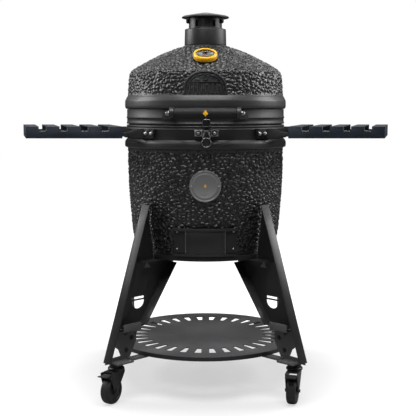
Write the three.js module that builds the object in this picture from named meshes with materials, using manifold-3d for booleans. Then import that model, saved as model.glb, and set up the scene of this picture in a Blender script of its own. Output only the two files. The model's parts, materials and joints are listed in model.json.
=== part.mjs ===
// Kamado ceramic grill on a wheeled four-leg stand, with two fold-down side tables.
// Millimetres, +Z up, floor at Z = 0, body axis on the Z axis, front of the grill toward -Y.
import * as THREE from 'three';
import { mergeVertices } from 'three/addons/utils/BufferGeometryUtils.js';
import Module from 'manifold-3d';

const wasm = await Module();
wasm.setup();

// ---------------------------------------------------------------- driving dimensions
const GAP = 0.3; // clearance between pieces that touch
const ROUND = 32; // sides of the large turned pieces
const SMALL = 16; // sides of the small turned pieces

const SPLIT = 911; // parting plane between bowl and dome
const GASKET = 5.3; // thickness of each felt gasket
const RIM_R = 270.5; // ceramic radius under the steel bands
const BAND_IN = 271;
const BAND_R = 275.5;
const BEAD = 2; // height of the rolled beads on the bands
const BAND_CLEAR_R = BAND_R + BEAD + 0.6; // what is bolted to a band is cut to this radius

// Outer profile of the bowl below its flange, and of the dome above its flange, as [radius, z].
const BOWL = [[238, 460], [253, 502], [261.4, 556], [267.6, 630], [272, 694], [274.4, 773]];
const BOWL_FLANGE = { r: 274.2, rise: 9.8, z0: 831, z1: 864 };
const DOME_FLANGE = { r: 273, rise: 9.7, z0: 963, z1: 1009 };
const DOME = [[271, 1048], [268, 1076], [263, 1091], [242, 1108], [200, 1131], [143, 1159], [85, 1180]];
const DOME_TOP = { r: 73.2, throat: 62, z: 1182.5 };

const VENT = { r0: 73.2, r1: 71.6, z0: 1183, z1: 1240, sleeve: 58, sleeveTop: 1277, windows: 6 };
const CAP = { r: 82.4, rim: 1279, top: 1298 };

const THERMO = { y: -200, z: 1131, tilt: 27.5, bezel: 40, probe: 60 };
const HANDLE = { y: -325, z: 950, grip: 18, rod: 6, bracket: 107, width: 14, height: 40 };
const LATCH = { x: 4, y: -291, pivot: 884, bail: 870, ahead: 6.5 };
const HINGE = { y: 322, z: 911, pin: 6 };

const DRAFT = { z0: 480, z1: 572, frame: 263.5, screen: 269, door: 271, lip: 275.5, half: 23 };
const BADGE = { r: 52, z: 713 };

const TABLE = {
  frontIn: 276, frontOut: 598, backIn: 360, halfDepth: 190,
  top: 906, bottom: 866, wall: 3, slat: 43.5, slats: 5, slotDepth: 17,
};
const FOLD = { u: 299, z: 878, rod: 4.5, eye: 9, frontArm: -192, backArm: 200, arm: 4 };

const LEG = { t: 3.5, flange: 36, top: [298, 647], foot: [471, 140], webBottom: 247, ringTop: 459.6 };
const RING = { r0: 239.2, r1: 251, z0: 460, z1: 476 };
const CASTER = { r: 417, wheel: 45, width: 32, trail: 30, pad: 131, padT: 6 };
const PEDAL_REACH = 86; // from the swivel axis to the tip of a brake pedal
const SHELF = { r: 326, top: 156, rim: 14, t: 3.5, slots: 32, slotIn: 208, slotOut: 268 };

// ---------------------------------------------------------------- finishes
const finish = (color, roughness, metalness) =>
  new THREE.MeshStandardMaterial({ color, roughness, metalness });
const GLAZE = finish(0x1b1c1f, 0.22, 0);
const FIRECLAY = finish(0xb9a58c, 0.9, 0);
const BAND_STEEL = finish(0x0b0b0c, 0.35, 0.2);
const FELT = finish(0x2a2a2a, 0.95, 0);
const STAND_STEEL = finish(0x2c2d30, 0.5, 0.3);
const BRACKET_STEEL = finish(0x4d4f53, 0.5, 0.3);
const TABLE_STEEL = finish(0x2b3138, 0.45, 0.3);
const STAINLESS = finish(0xb9bcc0, 0.3, 1);
const CAST_IRON = finish(0x1d1d1d, 0.75, 0.4);
const CAST_ALUMINIUM = finish(0x1a1a1b, 0.5, 0.3);
const GRIP = finish(0x18191a, 0.6, 0);
const BEZEL = finish(0xf2a60d, 0.35, 0);
const DIAL = finish(0x101214, 0.6, 0);
const RED = finish(0xb03020, 0.5, 0);
const GLASS = finish(0xe6eef0, 0.05, 0);
const RUBBER = finish(0x1c1d1f, 0.7, 0);
const BADGE_METAL = finish(0x6a6d70, 0.4, 0.8);

// ---------------------------------------------------------------- modelling helpers
const rad = (degrees) => (degrees * Math.PI) / 180;
const polar = (r, degrees) => [r * Math.cos(rad(degrees)), r * Math.sin(rad(degrees))];

// A closed geometry as a solid: shared corners merged, slivers at the poles dropped, faces out.
function toSolid(geometry) {
  const bare = geometry.clone();
  bare.deleteAttribute('normal');
  bare.deleteAttribute('uv');
  const merged = mergeVertices(bare, 1e-4);
  const xyz = merged.attributes.position.array;
  const index = merged.index.array;
  const corner = (i) => new THREE.Vector3().fromArray(xyz, 3 * i);
  const triangles = [];
  let volume = 0;
  for (let i = 0; i < index.length; i += 3) {
    const [a, b, c] = [index[i], index[i + 1], index[i + 2]];
    if (a === b || b === c || c === a) continue;
    triangles.push([a, b, c]);
    volume += corner(a).dot(corner(b).cross(corner(c)));
  }
  if (volume < 0) triangles.forEach((triangle) => triangle.reverse());
  return new wasm.Manifold(new wasm.Mesh({
    numProp: 3, vertProperties: new Float32Array(xyz), triVerts: new Uint32Array(triangles.flat()),
  }));
}

function toGeometry(solid) {
  const mesh = solid.getMesh();
  const geometry = new THREE.BufferGeometry();
  geometry.setAttribute('position', new THREE.BufferAttribute(mesh.vertProperties, 3));
  geometry.setIndex(new THREE.BufferAttribute(mesh.triVerts, 1));
  return geometry;
}

const join = (...pieces) => toGeometry(pieces.map(toSolid).reduce((all, next) => all.add(next)));
const cut = (body, ...tools) =>
  toGeometry(tools.map(toSolid).reduce((rest, tool) => rest.subtract(tool), toSolid(body)));

// A closed [radius, z] profile turned around the Z axis.
function turned(profile, sides = ROUND) {
  const points = [...profile, profile[0]].map(([r, z]) => new THREE.Vector2(r, z));
  return new THREE.LatheGeometry(points, sides).rotateX(Math.PI / 2);
}

const outlineOf = (points) => points.map(([x, y]) => new THREE.Vector2(x, y));

function extruded(points, depth, holes) {
  const shape = new THREE.Shape(outlineOf(points));
  holes.forEach((hole) => shape.holes.push(new THREE.Path(outlineOf(hole))));
  return new THREE.ExtrudeGeometry(shape, { depth, bevelEnabled: false });
}

// Plates: an outline in two axes, with a thickness along the third.
const plateXY = (points, z0, z1, holes = []) => extruded(points, z1 - z0, holes).translate(0, 0, z0);
const plateXZ = (points, y0, y1, holes = []) =>
  extruded(points, y1 - y0, holes).rotateX(Math.PI / 2).translate(0, y1, 0);
const plateYZ = (points, x0, x1, holes = []) => extruded(points, x1 - x0, holes)
  .applyMatrix4(new THREE.Matrix4().makeBasis(
    new THREE.Vector3(0, 1, 0), new THREE.Vector3(0, 0, 1), new THREE.Vector3(1, 0, 0)))
  .translate(x0, 0, 0);
const block = (x0, x1, y0, y1, z0, z1) => new THREE.BoxGeometry(x1 - x0, y1 - y0, z1 - z0)
  .translate((x0 + x1) / 2, (y0 + y1) / 2, (z0 + z1) / 2);

function bar(axis, radius, from, to, sides = SMALL) {
  const cylinder = new THREE.CylinderGeometry(radius, radius, to - from, sides);
  if (axis === 'x') cylinder.rotateZ(-Math.PI / 2).translate((from + to) / 2, 0, 0);
  if (axis === 'y') cylinder.translate(0, (from + to) / 2, 0);
  if (axis === 'z') cylinder.rotateX(Math.PI / 2).translate(0, 0, (from + to) / 2);
  return cylinder;
}

const circle = (radius, sides, cx = 0, cy = 0) => Array.from({ length: sides }, (_, i) => {
  const [x, y] = polar(radius, (360 * i) / sides);
  return [cx + x, cy + y];
});

// Plan outline of a curved wall, centred on the front of the body.
function frontArc(r0, r1, half, steps = 8) {
  const sweep = Array.from({ length: steps + 1 }, (_, i) => -90 - half + (2 * half * i) / steps);
  return [...sweep.map((a) => polar(r1, a)), ...sweep.reverse().map((a) => polar(r0, a))];
}
const frontWall = (r0, r1, half, z0, z1) => plateXY(frontArc(r0, r1, half), z0, z1);

// The rolled swelling of a flange, as profile points from its lower edge to its upper one.
const swelling = ({ r, rise, z0, z1 }, steps = 4) => Array.from({ length: steps + 1 }, (_, i) =>
  [r + rise * Math.sin((Math.PI * i) / steps), z0 + ((z1 - z0) * i) / steps]);

// The round body that everything bolted to the bands is cut back to.
const bandCore = (z0, z1) => turned([[0, z0], [BAND_CLEAR_R, z0], [BAND_CLEAR_R, z1], [0, z1]], 48);

// Windows through a sleeve, spaced evenly around the Z axis, the first one at the azimuth start.
const windows = (count, start, width, r0, r1, z0, z1) => Array.from({ length: count }, (_, i) =>
  block(r0, r1, -width / 2, width / 2, z0, z1).rotateZ(rad(start + (360 * i) / count)));

const grill = new THREE.Group();

function add(name, geometry, material, parent = grill) {
  const mesh = new THREE.Mesh(join(geometry), material);
  mesh.name = name;
  parent.add(mesh);
}

// ---------------------------------------------------------------- bowl and what it holds
function bowlShell() {
  const inside = [[243, SPLIT - GASKET - 0.7], [242, 760], [228, 560], [218, 505], [205, 488], [0, 488]];
  const shell = turned([
    [0, BOWL[0][1]], ...BOWL, ...swelling(BOWL_FLANGE),
    [RIM_R, BOWL_FLANGE.z1], [RIM_R, SPLIT - GASKET - 0.7], ...inside,
  ]);
  return cut(shell, block(-55, 55, -290, -195, 495, 552));
}

const bowlBand = () => turned([
  [BAND_IN, 864.5], [BAND_R, 864.5], [BAND_R, 894], [BAND_R + BEAD, 897], [BAND_R, 900],
  [BAND_R + BEAD, 906], [BAND_R, 909.5], [BAND_IN, 909.5],
]);

const gasket = (z) => turned([[245, z], [270, z], [270, z + GASKET], [245, z + GASKET]]);

// The fire box is cast in two rings that stand on each other at FIRE_SPLIT.
const FIRE_SPLIT = 572;
const fireBoxBase = () => cut(
  turned([[120, 488.5], [195, 488.5], [205, 560], [205.4, FIRE_SPLIT - GAP], [175, FIRE_SPLIT - GAP],
    [150, 548], [120, 548]], 24),
  block(-50, 50, -220, -100, 500, 540));

const fireBoxWall = () => turned([[205.4, FIRE_SPLIT], [210, 760], [185, 760], [177, FIRE_SPLIT]], 24);

const fireRing = () => turned([[188, 760.4], [212, 760.4], [225, 850], [200, 850]], 24);

// A round plate with parallel slots, as a grate.
function grate(radius, z0, z1, slot, pitch) {
  const slots = [];
  const reach = radius - 12;
  for (let x = -Math.floor(reach / pitch) * pitch; x < reach; x += pitch) {
    const half = Math.sqrt(reach ** 2 - (Math.abs(x) + slot / 2) ** 2);
    const [x0, x1] = [x - slot / 2, x + slot / 2];
    if (half > 15) slots.push([[x0, -half], [x1, -half], [x1, half], [x0, half]]);
  }
  return plateXY(circle(radius, 36), z0, z1, slots);
}

function draftFrame() {
  const { z0, z1, frame, door, lip, half } = DRAFT;
  const plate = frontWall(frame, frame + 3, half, z0, z1);
  const floor = frontWall(frame, lip, half, z0, z0 + 4.5);
  const roof = frontWall(frame, lip, half, z1 - 4.5, z1);
  const lowerLip = frontWall(door + 3, lip, half, z0, z0 + 8);
  const upperLip = frontWall(door + 3, lip, half, z1 - 8, z1);
  return cut(join(plate, floor, roof, lowerLip, upperLip), frontWall(250, 269, 12, z0 + 16, z1 - 20));
}

function draftDoor() {
  const { z0, z1, door, lip } = DRAFT;
  const panel = frontWall(door, door + 2.4, 13.8, z0 + 5, z1 - 5);
  const ridges = [-12.6, 12.6].map((a) => frontWall(door + 1, lip, 0.9, z0 + 14, z1 - 14).rotateZ(rad(a)));
  return join(panel, ...ridges);
}

function draftScreen() {
  const { z0, z1, screen } = DRAFT;
  return frontWall(screen, screen + 1.2, 14.2, z0 + 5, z1 - 5);
}

function badge() {
  const disc = bar('y', BADGE.r, -279, -262, 32).translate(0, 0, BADGE.z);
  return cut(disc, turned([[0, 640], [274.9, 640], [274.9, 790], [0, 790]], 72));
}

add('base_shell', bowlShell(), GLAZE);
add('base_band', bowlBand(), BAND_STEEL);
add('base_gasket', gasket(SPLIT - GAP - GASKET), FELT);
add('fire_box_base', fireBoxBase(), FIRECLAY);
add('fire_box_wall', fireBoxWall(), FIRECLAY);
add('fire_ring', fireRing(), FIRECLAY);
add('charcoal_grate', grate(147, 548.5, 558, 13, 26), CAST_IRON);
add('cooking_grate', grate(222, 850.4, 858.4, 14, 22), STAINLESS);
add('draft_frame', draftFrame(), CAST_ALUMINIUM);
add('draft_screen', draftScreen(), STAINLESS);
add('draft_door', draftDoor(), CAST_ALUMINIUM);
add('base_badge', badge(), BADGE_METAL);

// ---------------------------------------------------------------- dome and what it carries
// Frame at the gauge: its Z axis stands square on the dome.
const gauge = new THREE.Group();
gauge.position.set(0, THERMO.y, THERMO.z);
gauge.rotation.x = rad(THERMO.tilt);
const onGauge = (geometry) => geometry.rotateX(rad(THERMO.tilt)).translate(0, THERMO.y, THERMO.z);

function domeShell() {
  const z = SPLIT + GASKET + 0.8;
  const shell = turned([
    [RIM_R, z], [RIM_R, DOME_FLANGE.z0], ...swelling(DOME_FLANGE), ...DOME,
    [DOME_TOP.r, DOME_TOP.z], [DOME_TOP.throat, DOME_TOP.z], [DOME_TOP.throat, 1156],
    [85, 1150], [143, 1128], [200, 1098], [232, 1072], [241, 1040], [243, z],
  ]);
  return cut(shell, onGauge(bar('z', 6, -60, 20)));
}

const domeBand = () => turned([
  [BAND_IN, 912.5], [BAND_R, 912.5], [BAND_R + BEAD, 916], [BAND_R, 920], [BAND_R, 931],
  [BAND_R + BEAD, 935], [BAND_R, 939], [BAND_R, 962.5], [BAND_IN, 962.5],
]);

function ventBase() {
  const { r0, r1, z0, z1, windows: count } = VENT;
  const body = turned([[r0, z0], [r1, z1], [52.5, z1], [52.5, 1272], [49, 1272], [49, 1235],
    [66, 1235], [67, z0]], 24);
  return cut(body, ...windows(count, 180 / count, 12, 45, 56, 1247, 1266));
}

function ventRotor() {
  const { z1, sleeve, sleeveTop, windows: count } = VENT;
  const body = turned([[54, z1 + 0.4], [sleeve, z1 + 0.4], [sleeve, sleeveTop], [0, sleeveTop],
    [0, sleeveTop - 3], [54, sleeveTop - 3]], 24);
  return cut(body, ...windows(count, 0, 13, 51, 62, 1246, 1268));
}

const rainCap = () => turned([[0, VENT.sleeveTop + GAP], [CAP.r - 4, VENT.sleeveTop + GAP],
  [CAP.r, CAP.rim - 1], [CAP.r, CAP.rim + 4], [14, CAP.top - 1.5], [0, CAP.top]]);

function handleBracket(side) {
  const { y, z, grip, rod, bracket, width, height } = HANDLE;
  const inner = side * (bracket - width / 2);
  const outer = side * (bracket + width / 2);
  const arm = plateYZ([[-245, z - height / 2], [-245, z + height / 2], [y, z + grip + 2],
    [y - grip, z + 9], [y - grip, z - 9], [y, z - grip - 2]], Math.min(inner, outer), Math.max(inner, outer));
  const foot = block(...[side * 100, side * 131].sort((a, b) => a - b), -262, -238,
    z - height / 2, z + height / 2 - 12);
  const bore = bar('x', rod + 0.4, -140, 140).translate(0, y, z);
  const inside = block(...[side * 90, side * 140].sort((a, b) => a - b), -244, -200, 900, 990);
  return cut(join(arm, foot), bandCore(900, 990), bore, inside);
}

const handleGrip = () => {
  const { y, z, grip, rod } = HANDLE;
  const tube = turned([[rod + 0.4, -99.5], [grip - 2, -99.5], [grip, -97], [grip, 97], [grip - 2, 99.5],
    [rod + 0.4, 99.5]], SMALL);
  return tube.rotateY(Math.PI / 2).translate(0, y, z);
};

const latchKeeper = () => cut(
  join(block(LATCH.x - 13, LATCH.x + 13, -285, -270, 913, 933),
    plateYZ([[-281, 933], [-293, 926], [-293, 906], [-289, 906], [-287, 918], [-281, 920]],
      LATCH.x - 13, LATCH.x + 13)),
  bandCore(900, 940));

const gaugeCase = () => turned([[0, -THERMO.probe], [4, -THERMO.probe], [4, 2], [36.5, 2], [36.5, 9],
  [0, 9]], 24);
const gaugeBezel = () => turned([[36.9, 2], [THERMO.bezel, 2], [THERMO.bezel, 14], [37.5, 18], [32.5, 18],
  [31.5, 15.4], [36.9, 15.4]], 24);
const gaugeGlass = () => turned([[0, 13.4], [36.5, 13.4], [36.5, 15], [0, 15]], 24);
const gaugeNeedle = () => plateXY([[-3, -6], [3, -6], [3, 2], [0.8, 27], [-0.8, 27], [-3, 2]], 10, 11.5);

function hingeLug(x0, x1, foot) {
  const { y, z, pin } = HINGE;
  const eye = bar('x', pin + 7, x0, x1, 12).translate(0, y, z);
  return join(eye, plateYZ(foot, x0, x1));
}

function hingeBase() {
  const { y, z } = HINGE;
  const lug = [[275, 868], [275, 898], [y - 9, z + 8], [y + 11, z - 6]];
  const plate = block(-60, 60, 262, 284, 868, 898);
  const bore = bar('x', HINGE.pin + 0.6, -60, 60, 12).translate(0, y, z);
  return cut(join(plate, hingeLug(36, 42, lug), hingeLug(-42, -36, lug)), bandCore(860, 925), bore,
    block(-70, 70, 240, 265, 860, 925));
}

function hingeLidArm() {
  const { y, z } = HINGE;
  const lug = [[275, 920], [275, 957], [286, 957], [y + 8, z + 10], [y - 8, z - 9], [285, 920]];
  const plate = block(-50, 50, 262, 286, 920, 957);
  const bore = bar('x', HINGE.pin + 0.6, -60, 60, 12).translate(0, y, z);
  return cut(join(plate, hingeLug(26, 32, lug), hingeLug(-32, -26, lug)), bandCore(890, 990), bore,
    block(-70, 70, 240, 265, 890, 990));
}

// Torsion spring wound on the hinge pin.
class Coil extends THREE.Curve {
  getPoint(t) {
    const turn = 2 * Math.PI * 4 * t;
    return new THREE.Vector3(-20 + 40 * t, HINGE.y + 11 * Math.cos(turn), HINGE.z + 11 * Math.sin(turn));
  }
}
const hingeSpring = () => new THREE.ExtrudeGeometry(new THREE.Shape(outlineOf(circle(1.6, 5))),
  { extrudePath: new Coil(), steps: 40, bevelEnabled: false });

add('dome_shell', domeShell(), GLAZE);
add('dome_band', domeBand(), BAND_STEEL);
add('dome_gasket', gasket(SPLIT + 0.2), FELT);
add('vent_base', ventBase(), CAST_ALUMINIUM);
add('vent_rotor', ventRotor(), CAST_ALUMINIUM);
add('rain_cap', rainCap(), CAST_ALUMINIUM);
add('handle_bracket_left', handleBracket(-1), CAST_ALUMINIUM);
add('handle_bracket_right', handleBracket(1), CAST_ALUMINIUM);
add('handle_grip', handleGrip(), GRIP);
add('handle_rod', bar('x', HANDLE.rod, -120, 120).translate(0, HANDLE.y, HANDLE.z), STAINLESS);
add('latch_keeper', latchKeeper(), CAST_ALUMINIUM);
add('thermometer_case', gaugeCase(), DIAL, gauge);
add('thermometer_bezel', gaugeBezel(), BEZEL, gauge);
add('thermometer_glass', gaugeGlass(), GLASS, gauge);
add('thermometer_needle', gaugeNeedle(), RED, gauge);
grill.add(gauge);
add('hinge_base', hingeBase(), BAND_STEEL);
add('hinge_lid_arm', hingeLidArm(), BAND_STEEL);
add('hinge_pin', bar('x', HINGE.pin, -47, 47, 12).translate(0, HINGE.y, HINGE.z), STAINLESS);
add('hinge_spring', hingeSpring(), STAINLESS);

// ---------------------------------------------------------------- front latch
function latchPlate() {
  const { x, y, pivot } = LATCH;
  const plate = block(x - 38.5, x + 38.5, -282, -268, 876, 896);
  const lug = (x0, x1) => plateYZ([[-280, 877], [-280, 891], [y - 3, 889], [y - 3, 879]], x0, x1);
  const pin = bar('x', 2, x - 12, x + 12, 12).translate(0, y, pivot);
  return join(cut(join(plate, lug(x - 12, x - 9), lug(x + 9, x + 12)), bandCore(860, 905)), pin);
}

function latchLever() {
  const { x, y, pivot, bail, ahead } = LATCH;
  const tab = plateXZ(circle(15, SMALL, x, 856), y - 9.5, y - 2.5);
  const neck = block(x - 8, x + 8, y - 9.5, y - 1, 856, bail + 5);
  const throat = block(x - 8, x + 8, y - 4, y - 1, bail + 4, pivot);
  const barrel = bar('x', 4.2, x - 8, x + 8, 12).translate(0, y, pivot);
  return cut(join(tab, neck, throat, barrel),
    bar('x', 2.5, x - 20, x + 20, 12).translate(0, y, pivot),
    bar('x', 2.1, x - 20, x + 20, 12).translate(0, y - ahead, bail));
}

// A triangle of wire whose lower side turns in the lever.
function latchBail() {
  const { x, y, bail, ahead } = LATCH;
  const wire = 1.5;
  const corners = [[x - 13, bail], [x + 13, bail], [x + 3.5, 894], [x - 3.5, 894]]
    .map(([cx, cz]) => new THREE.Vector3(cx, y - ahead, cz));
  const pieces = corners.map((from, i) => {
    const to = corners[(i + 1) % corners.length];
    const overrun = to.clone().sub(from).setLength(wire);
    const side = new THREE.LineCurve3(from.clone().sub(overrun), to.clone().add(overrun));
    return new THREE.ExtrudeGeometry(new THREE.Shape(outlineOf(circle(wire, 6))),
      { extrudePath: side, steps: 1, bevelEnabled: false });
  });
  return join(...pieces);
}

add('latch_plate', latchPlate(), STAINLESS);
add('latch_lever', latchLever(), CAST_ALUMINIUM);
add('latch_bail', latchBail(), STAINLESS);

// ---------------------------------------------------------------- side tables
// The inner edge of a table and its fold axis are swept back by SWEEP from the Y axis.
const SWEEP = Math.atan2(TABLE.backIn - TABLE.frontIn, 2 * TABLE.halfDepth);
const towardTable = new THREE.Vector2(Math.cos(SWEEP), -Math.sin(SWEEP));
const alongFold = new THREE.Vector2(Math.sin(SWEEP), Math.cos(SWEEP));
// Distance along the fold axis at which it passes a given Y.
const foldAt = (y) => (y - FOLD.u * towardTable.y) / alongFold.y;
const onFold = (geometry) => geometry.rotateZ(-SWEEP);
// X at a given Y of a line that leaves the front edge of the table at START and is swept back.
const edgeX = (start, y) => start + (y + TABLE.halfDepth) * Math.tan(SWEEP);
const mirrored = (geometry, side) => geometry.scale(side, 1, 1);

function strip(x0, x1, y0, y1, z0, z1) {
  const corners = [[x0, y0], [x1, y0], [x1, y1], [x0, y1]];
  return plateXY(corners.map(([x, y]) => [edgeX(x, y), y]), z0, z1);
}

function table(side) {
  const { frontIn, frontOut, halfDepth, top, bottom, wall, slat, slats, slotDepth } = TABLE;
  const pitch = (frontOut - frontIn - slat) / (slats - 1);
  const outside = strip(frontIn, frontOut, -halfDepth, halfDepth, bottom, top);
  const inside = strip(frontIn + wall, frontOut - wall, -halfDepth + wall, halfDepth - wall,
    bottom - 1, top - wall);
  const slots = Array.from({ length: slats - 1 }, (_, i) => strip(
    frontIn + slat + i * pitch, frontIn + (i + 1) * pitch, -halfDepth - 5, halfDepth + 5,
    top - slotDepth, top + 5));
  const ears = [-95, 215].map((v) =>
    onFold(block(FOLD.u - 6, FOLD.u + 13.5, v, v + 16, FOLD.z - 7, FOLD.z + 7)));
  const rod = onFold(bar('y', FOLD.rod, foldAt(FOLD.frontArm) - 8, foldAt(FOLD.backArm) + 8, 12)
    .translate(FOLD.u, 0, FOLD.z));
  return mirrored(join(cut(outside, inside, ...slots), ...ears, rod), side);
}

// A strap from the bowl's band out to the fold axis, with an eye for the table's rod.
function tableArm(side, y) {
  const v = foldAt(y);
  const tipX = FOLD.u * towardTable.x + v * alongFold.x;
  const [y0, y1] = [y - FOLD.arm / 2, y + FOLD.arm / 2];
  const strap = plateXZ([[186, 866], [186, 900], [tipX - 30, 898], [tipX, FOLD.z + 8], [tipX, FOLD.z - 8],
    [tipX - 30, 868]], y0, y1);
  const eye = onFold(bar('y', FOLD.eye, v - 6, v + 6, 12).translate(FOLD.u, 0, FOLD.z));
  const hole = onFold(bar('y', FOLD.rod + 0.7, v - 20, v + 20, 12).translate(FOLD.u, 0, FOLD.z));
  const [shortEnd, longEnd] = [20, 44];
  const foot = block(BAND_CLEAR_R - 12, BAND_CLEAR_R + 4, y < 0 ? -longEnd : -shortEnd,
    y < 0 ? shortEnd : longEnd, 866.5, 899.5).rotateZ(Math.atan2(y, Math.sqrt(BAND_R ** 2 - y ** 2)));
  const arm = cut(join(strap, eye, foot), bandCore(860, 905), hole);
  return mirrored(arm, side);
}

for (const [side, sideName] of [[-1, 'left'], [1, 'right']]) {
  add(`table_${sideName}`, table(side), TABLE_STEEL);
  add(`table_arm_front_${sideName}`, tableArm(side, FOLD.frontArm), BAND_STEEL);
  add(`table_arm_back_${sideName}`, tableArm(side, FOLD.backArm), BAND_STEEL);
}

// ---------------------------------------------------------------- stand
// Leg pieces are laid out in a radial plane: X is the radius, Z is up, the flanges go to +Y.
const [legTop, legFoot] = [LEG.top, LEG.foot];
const legOuter = (z) => legTop[0] + ((legFoot[0] - legTop[0]) * (legTop[1] - z)) / (legTop[1] - legFoot[1]);

// A strip of sheet square to the web, along the line from p to q, on its left side.
function flange(p, q, width) {
  const normal = new THREE.Vector2(p[1] - q[1], q[0] - p[0]).setLength(LEG.t);
  return plateXZ([p, q, [q[0] + normal.x, q[1] + normal.y], [p[0] + normal.x, p[1] + normal.y]], 0, width);
}

function leg() {
  const { webBottom, ringTop, t, flange: width } = LEG;
  const bowlSide = BOWL.filter(([, z]) => z > RING.z1 && z < legTop[1]).map(([r, z]) => [r + 3.5, z]);
  const web = plateXZ([
    [313, webBottom], [legOuter(webBottom), webBottom], legTop, [272.8, legTop[1]],
    ...bowlSide.reverse(), [254, RING.z1 + 3], [254, ringTop], [174, ringTop], [174, 440],
  ], 0, t, [
    [[265, 431], [294, 432], [284, 452]],
    [[295, 331], [350, 331], [350, 339], [295, 339]],
    Array.from({ length: 9 }, (_, i) => {
      const [x, z] = polar(28, 180 + (180 * i) / 8);
      return [322 + x, 326 + z];
    }),
  ]);
  return join(web, flange(legFoot, legTop, width),
    flange([174, 440], [313, webBottom], width),
    block(174, 323, 0, width, ringTop - t, ringTop), block(313, 414, 0, width, webBottom, webBottom + t));
}

// The front brackets are wider, and carry a ledge with a lip below the leg's own bottom flange.
function footBracket(isFront) {
  const { pad, padT, r } = CASTER;
  const innerSide = isFront ? [[332, 218], [332, 191], [366, pad]] : [[400, 238], [400, 196], [384, pad]];
  const plate = plateXZ([
    ...innerSide, [legOuter(142) - 5, pad], [legOuter(240) - 5, 240], [414, 244],
  ], 0, 4, [[[399, 150], [440, 149], [428, 186], [409, 173]]]);
  const base = block(r - 42, r + 28, -26, 42, pad, pad + padT);
  const shelfTab = block(296, r - 40, 4, 34, pad + 3, SHELF.top - SHELF.rim - 0.5);
  const ledge = block(340, 414, 2, 39.4, 236, 239);
  const lip = block(340, 414, 36.4, 39.4, 236, 262);
  return isFront ? join(plate, base, shelfTab, ledge, lip) : join(plate, base, shelfTab);
}

const cradleRing = () => {
  const { r0, r1, z0, z1 } = RING;
  const slope = (BOWL[1][0] - BOWL[0][0]) / (BOWL[1][1] - BOWL[0][1]);
  return turned([[r0, z0], [r1, z0], [r1, z1], [r0 + slope * (z1 - z0), z1]]);
};

function shelf() {
  const { r, top, rim, t, slots, slotIn, slotOut } = SHELF;
  const tray = turned([[0, top], [r, top], [r, top - rim], [r - t, top - rim], [r - t, top - t],
    [0, top - t]], 48);
  const slot = [[slotIn, -7], [slotOut, -13], [slotOut, 13], [slotIn, 7]];
  const cutters = Array.from({ length: slots }, (_, i) =>
    plateXY(slot, top - 10, top + 5).rotateZ(rad(((i + 0.5) * 360) / slots)));
  return cut(tray, ...cutters);
}

// A caster in its own frame: swivel axis on Z, wheel trailing toward +X.
function casterFork(braked) {
  const { wheel, width, trail, pad } = CASTER;
  const inner = width / 2 + 2;
  const nose = braked ? [[60, 108], [60, 95]] : [[50, 108], [48, 95]];
  const cheekOutline = [[-20, 108], [-20, 98], [trail - 12, wheel + 2], [trail - 8, wheel - 9],
    [trail + 8, wheel - 9], [trail + 12, wheel + 2], nose[1], nose[0]];
  const cheeks = [plateXZ(cheekOutline, inner, inner + 3), plateXZ(cheekOutline, -inner - 3, -inner)];
  const crown = block(-20, 44, -inner - 3, inner + 3, 105, 108);
  const head = turned([[0, 106], [25, 106], [25, 116], [17, pad - 0.5], [0, pad - 0.5]], 12);
  const axle = bar('y', 4, -inner - 5, inner + 5, 12).translate(trail, 0, wheel);
  const pin = bar('y', 2, -inner - 1, inner + 1, 8).translate(52, 0, 100);
  return join(head, crown, ...cheeks, axle, ...(braked ? [pin] : []));
}

const casterWheel = () => turned([[4.8, -15], [40, -CASTER.width / 2], [CASTER.wheel, -11],
  [CASTER.wheel, 11], [40, CASTER.width / 2], [4.8, 15]], SMALL).rotateX(Math.PI / 2)
  .translate(CASTER.trail, 0, CASTER.wheel);

function brakePedal() {
  const barrel = bar('y', 3.6, -15.5, 15.5, 12).translate(52, 0, 100);
  const tread = plateXZ([[52, 98], [70, 97], [PEDAL_REACH, 101], [PEDAL_REACH - 1, 104], [68, 101.5],
    [52, 103]], -15.5, 15.5);
  return cut(join(barrel, tread), bar('y', 2.6, -30, 30, 12).translate(52, 0, 100));
}

add('cradle_ring', cradleRing(), STAND_STEEL);
add('shelf', shelf(), BRACKET_STEEL);

// [name, azimuth of the leg, side its flanges bend to, direction the caster trails]
const CORNERS = [
  ['front_right', -45, -1, -105], ['front_left', -135, 1, -118],
  ['back_right', 45, 1, 105], ['back_left', 135, -1, 118],
];
for (const [corner, azimuth, bend, trail] of CORNERS) {
  const station = new THREE.Group();
  station.rotation.z = rad(azimuth);
  add(`leg_${corner}`, leg().scale(1, bend, 1), STAND_STEEL, station);
  const isFront = corner.startsWith('front');
  add(`foot_bracket_${corner}`, footBracket(isFront).scale(1, bend, 1), BRACKET_STEEL, station);
  grill.add(station);

  const caster = new THREE.Group();
  caster.position.set(...polar(CASTER.r, azimuth), 0);
  caster.rotation.z = rad(trail);
  add(`caster_fork_${corner}`, casterFork(isFront), STAND_STEEL, caster);
  add(`caster_wheel_${corner}`, casterWheel(), RUBBER, caster);
  if (isFront) add(`brake_pedal_${corner}`, brakePedal(), RUBBER, caster);
  grill.add(caster);
}

export default grill;
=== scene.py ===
"""Kamado ceramic grill on a wheeled stand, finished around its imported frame.

Metres, +Z up. The front, with the handle and the draft door, faces -Y.
"""
import json
import math

import bmesh
import bpy
import numpy as np
from mathutils import Matrix, Vector


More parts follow.
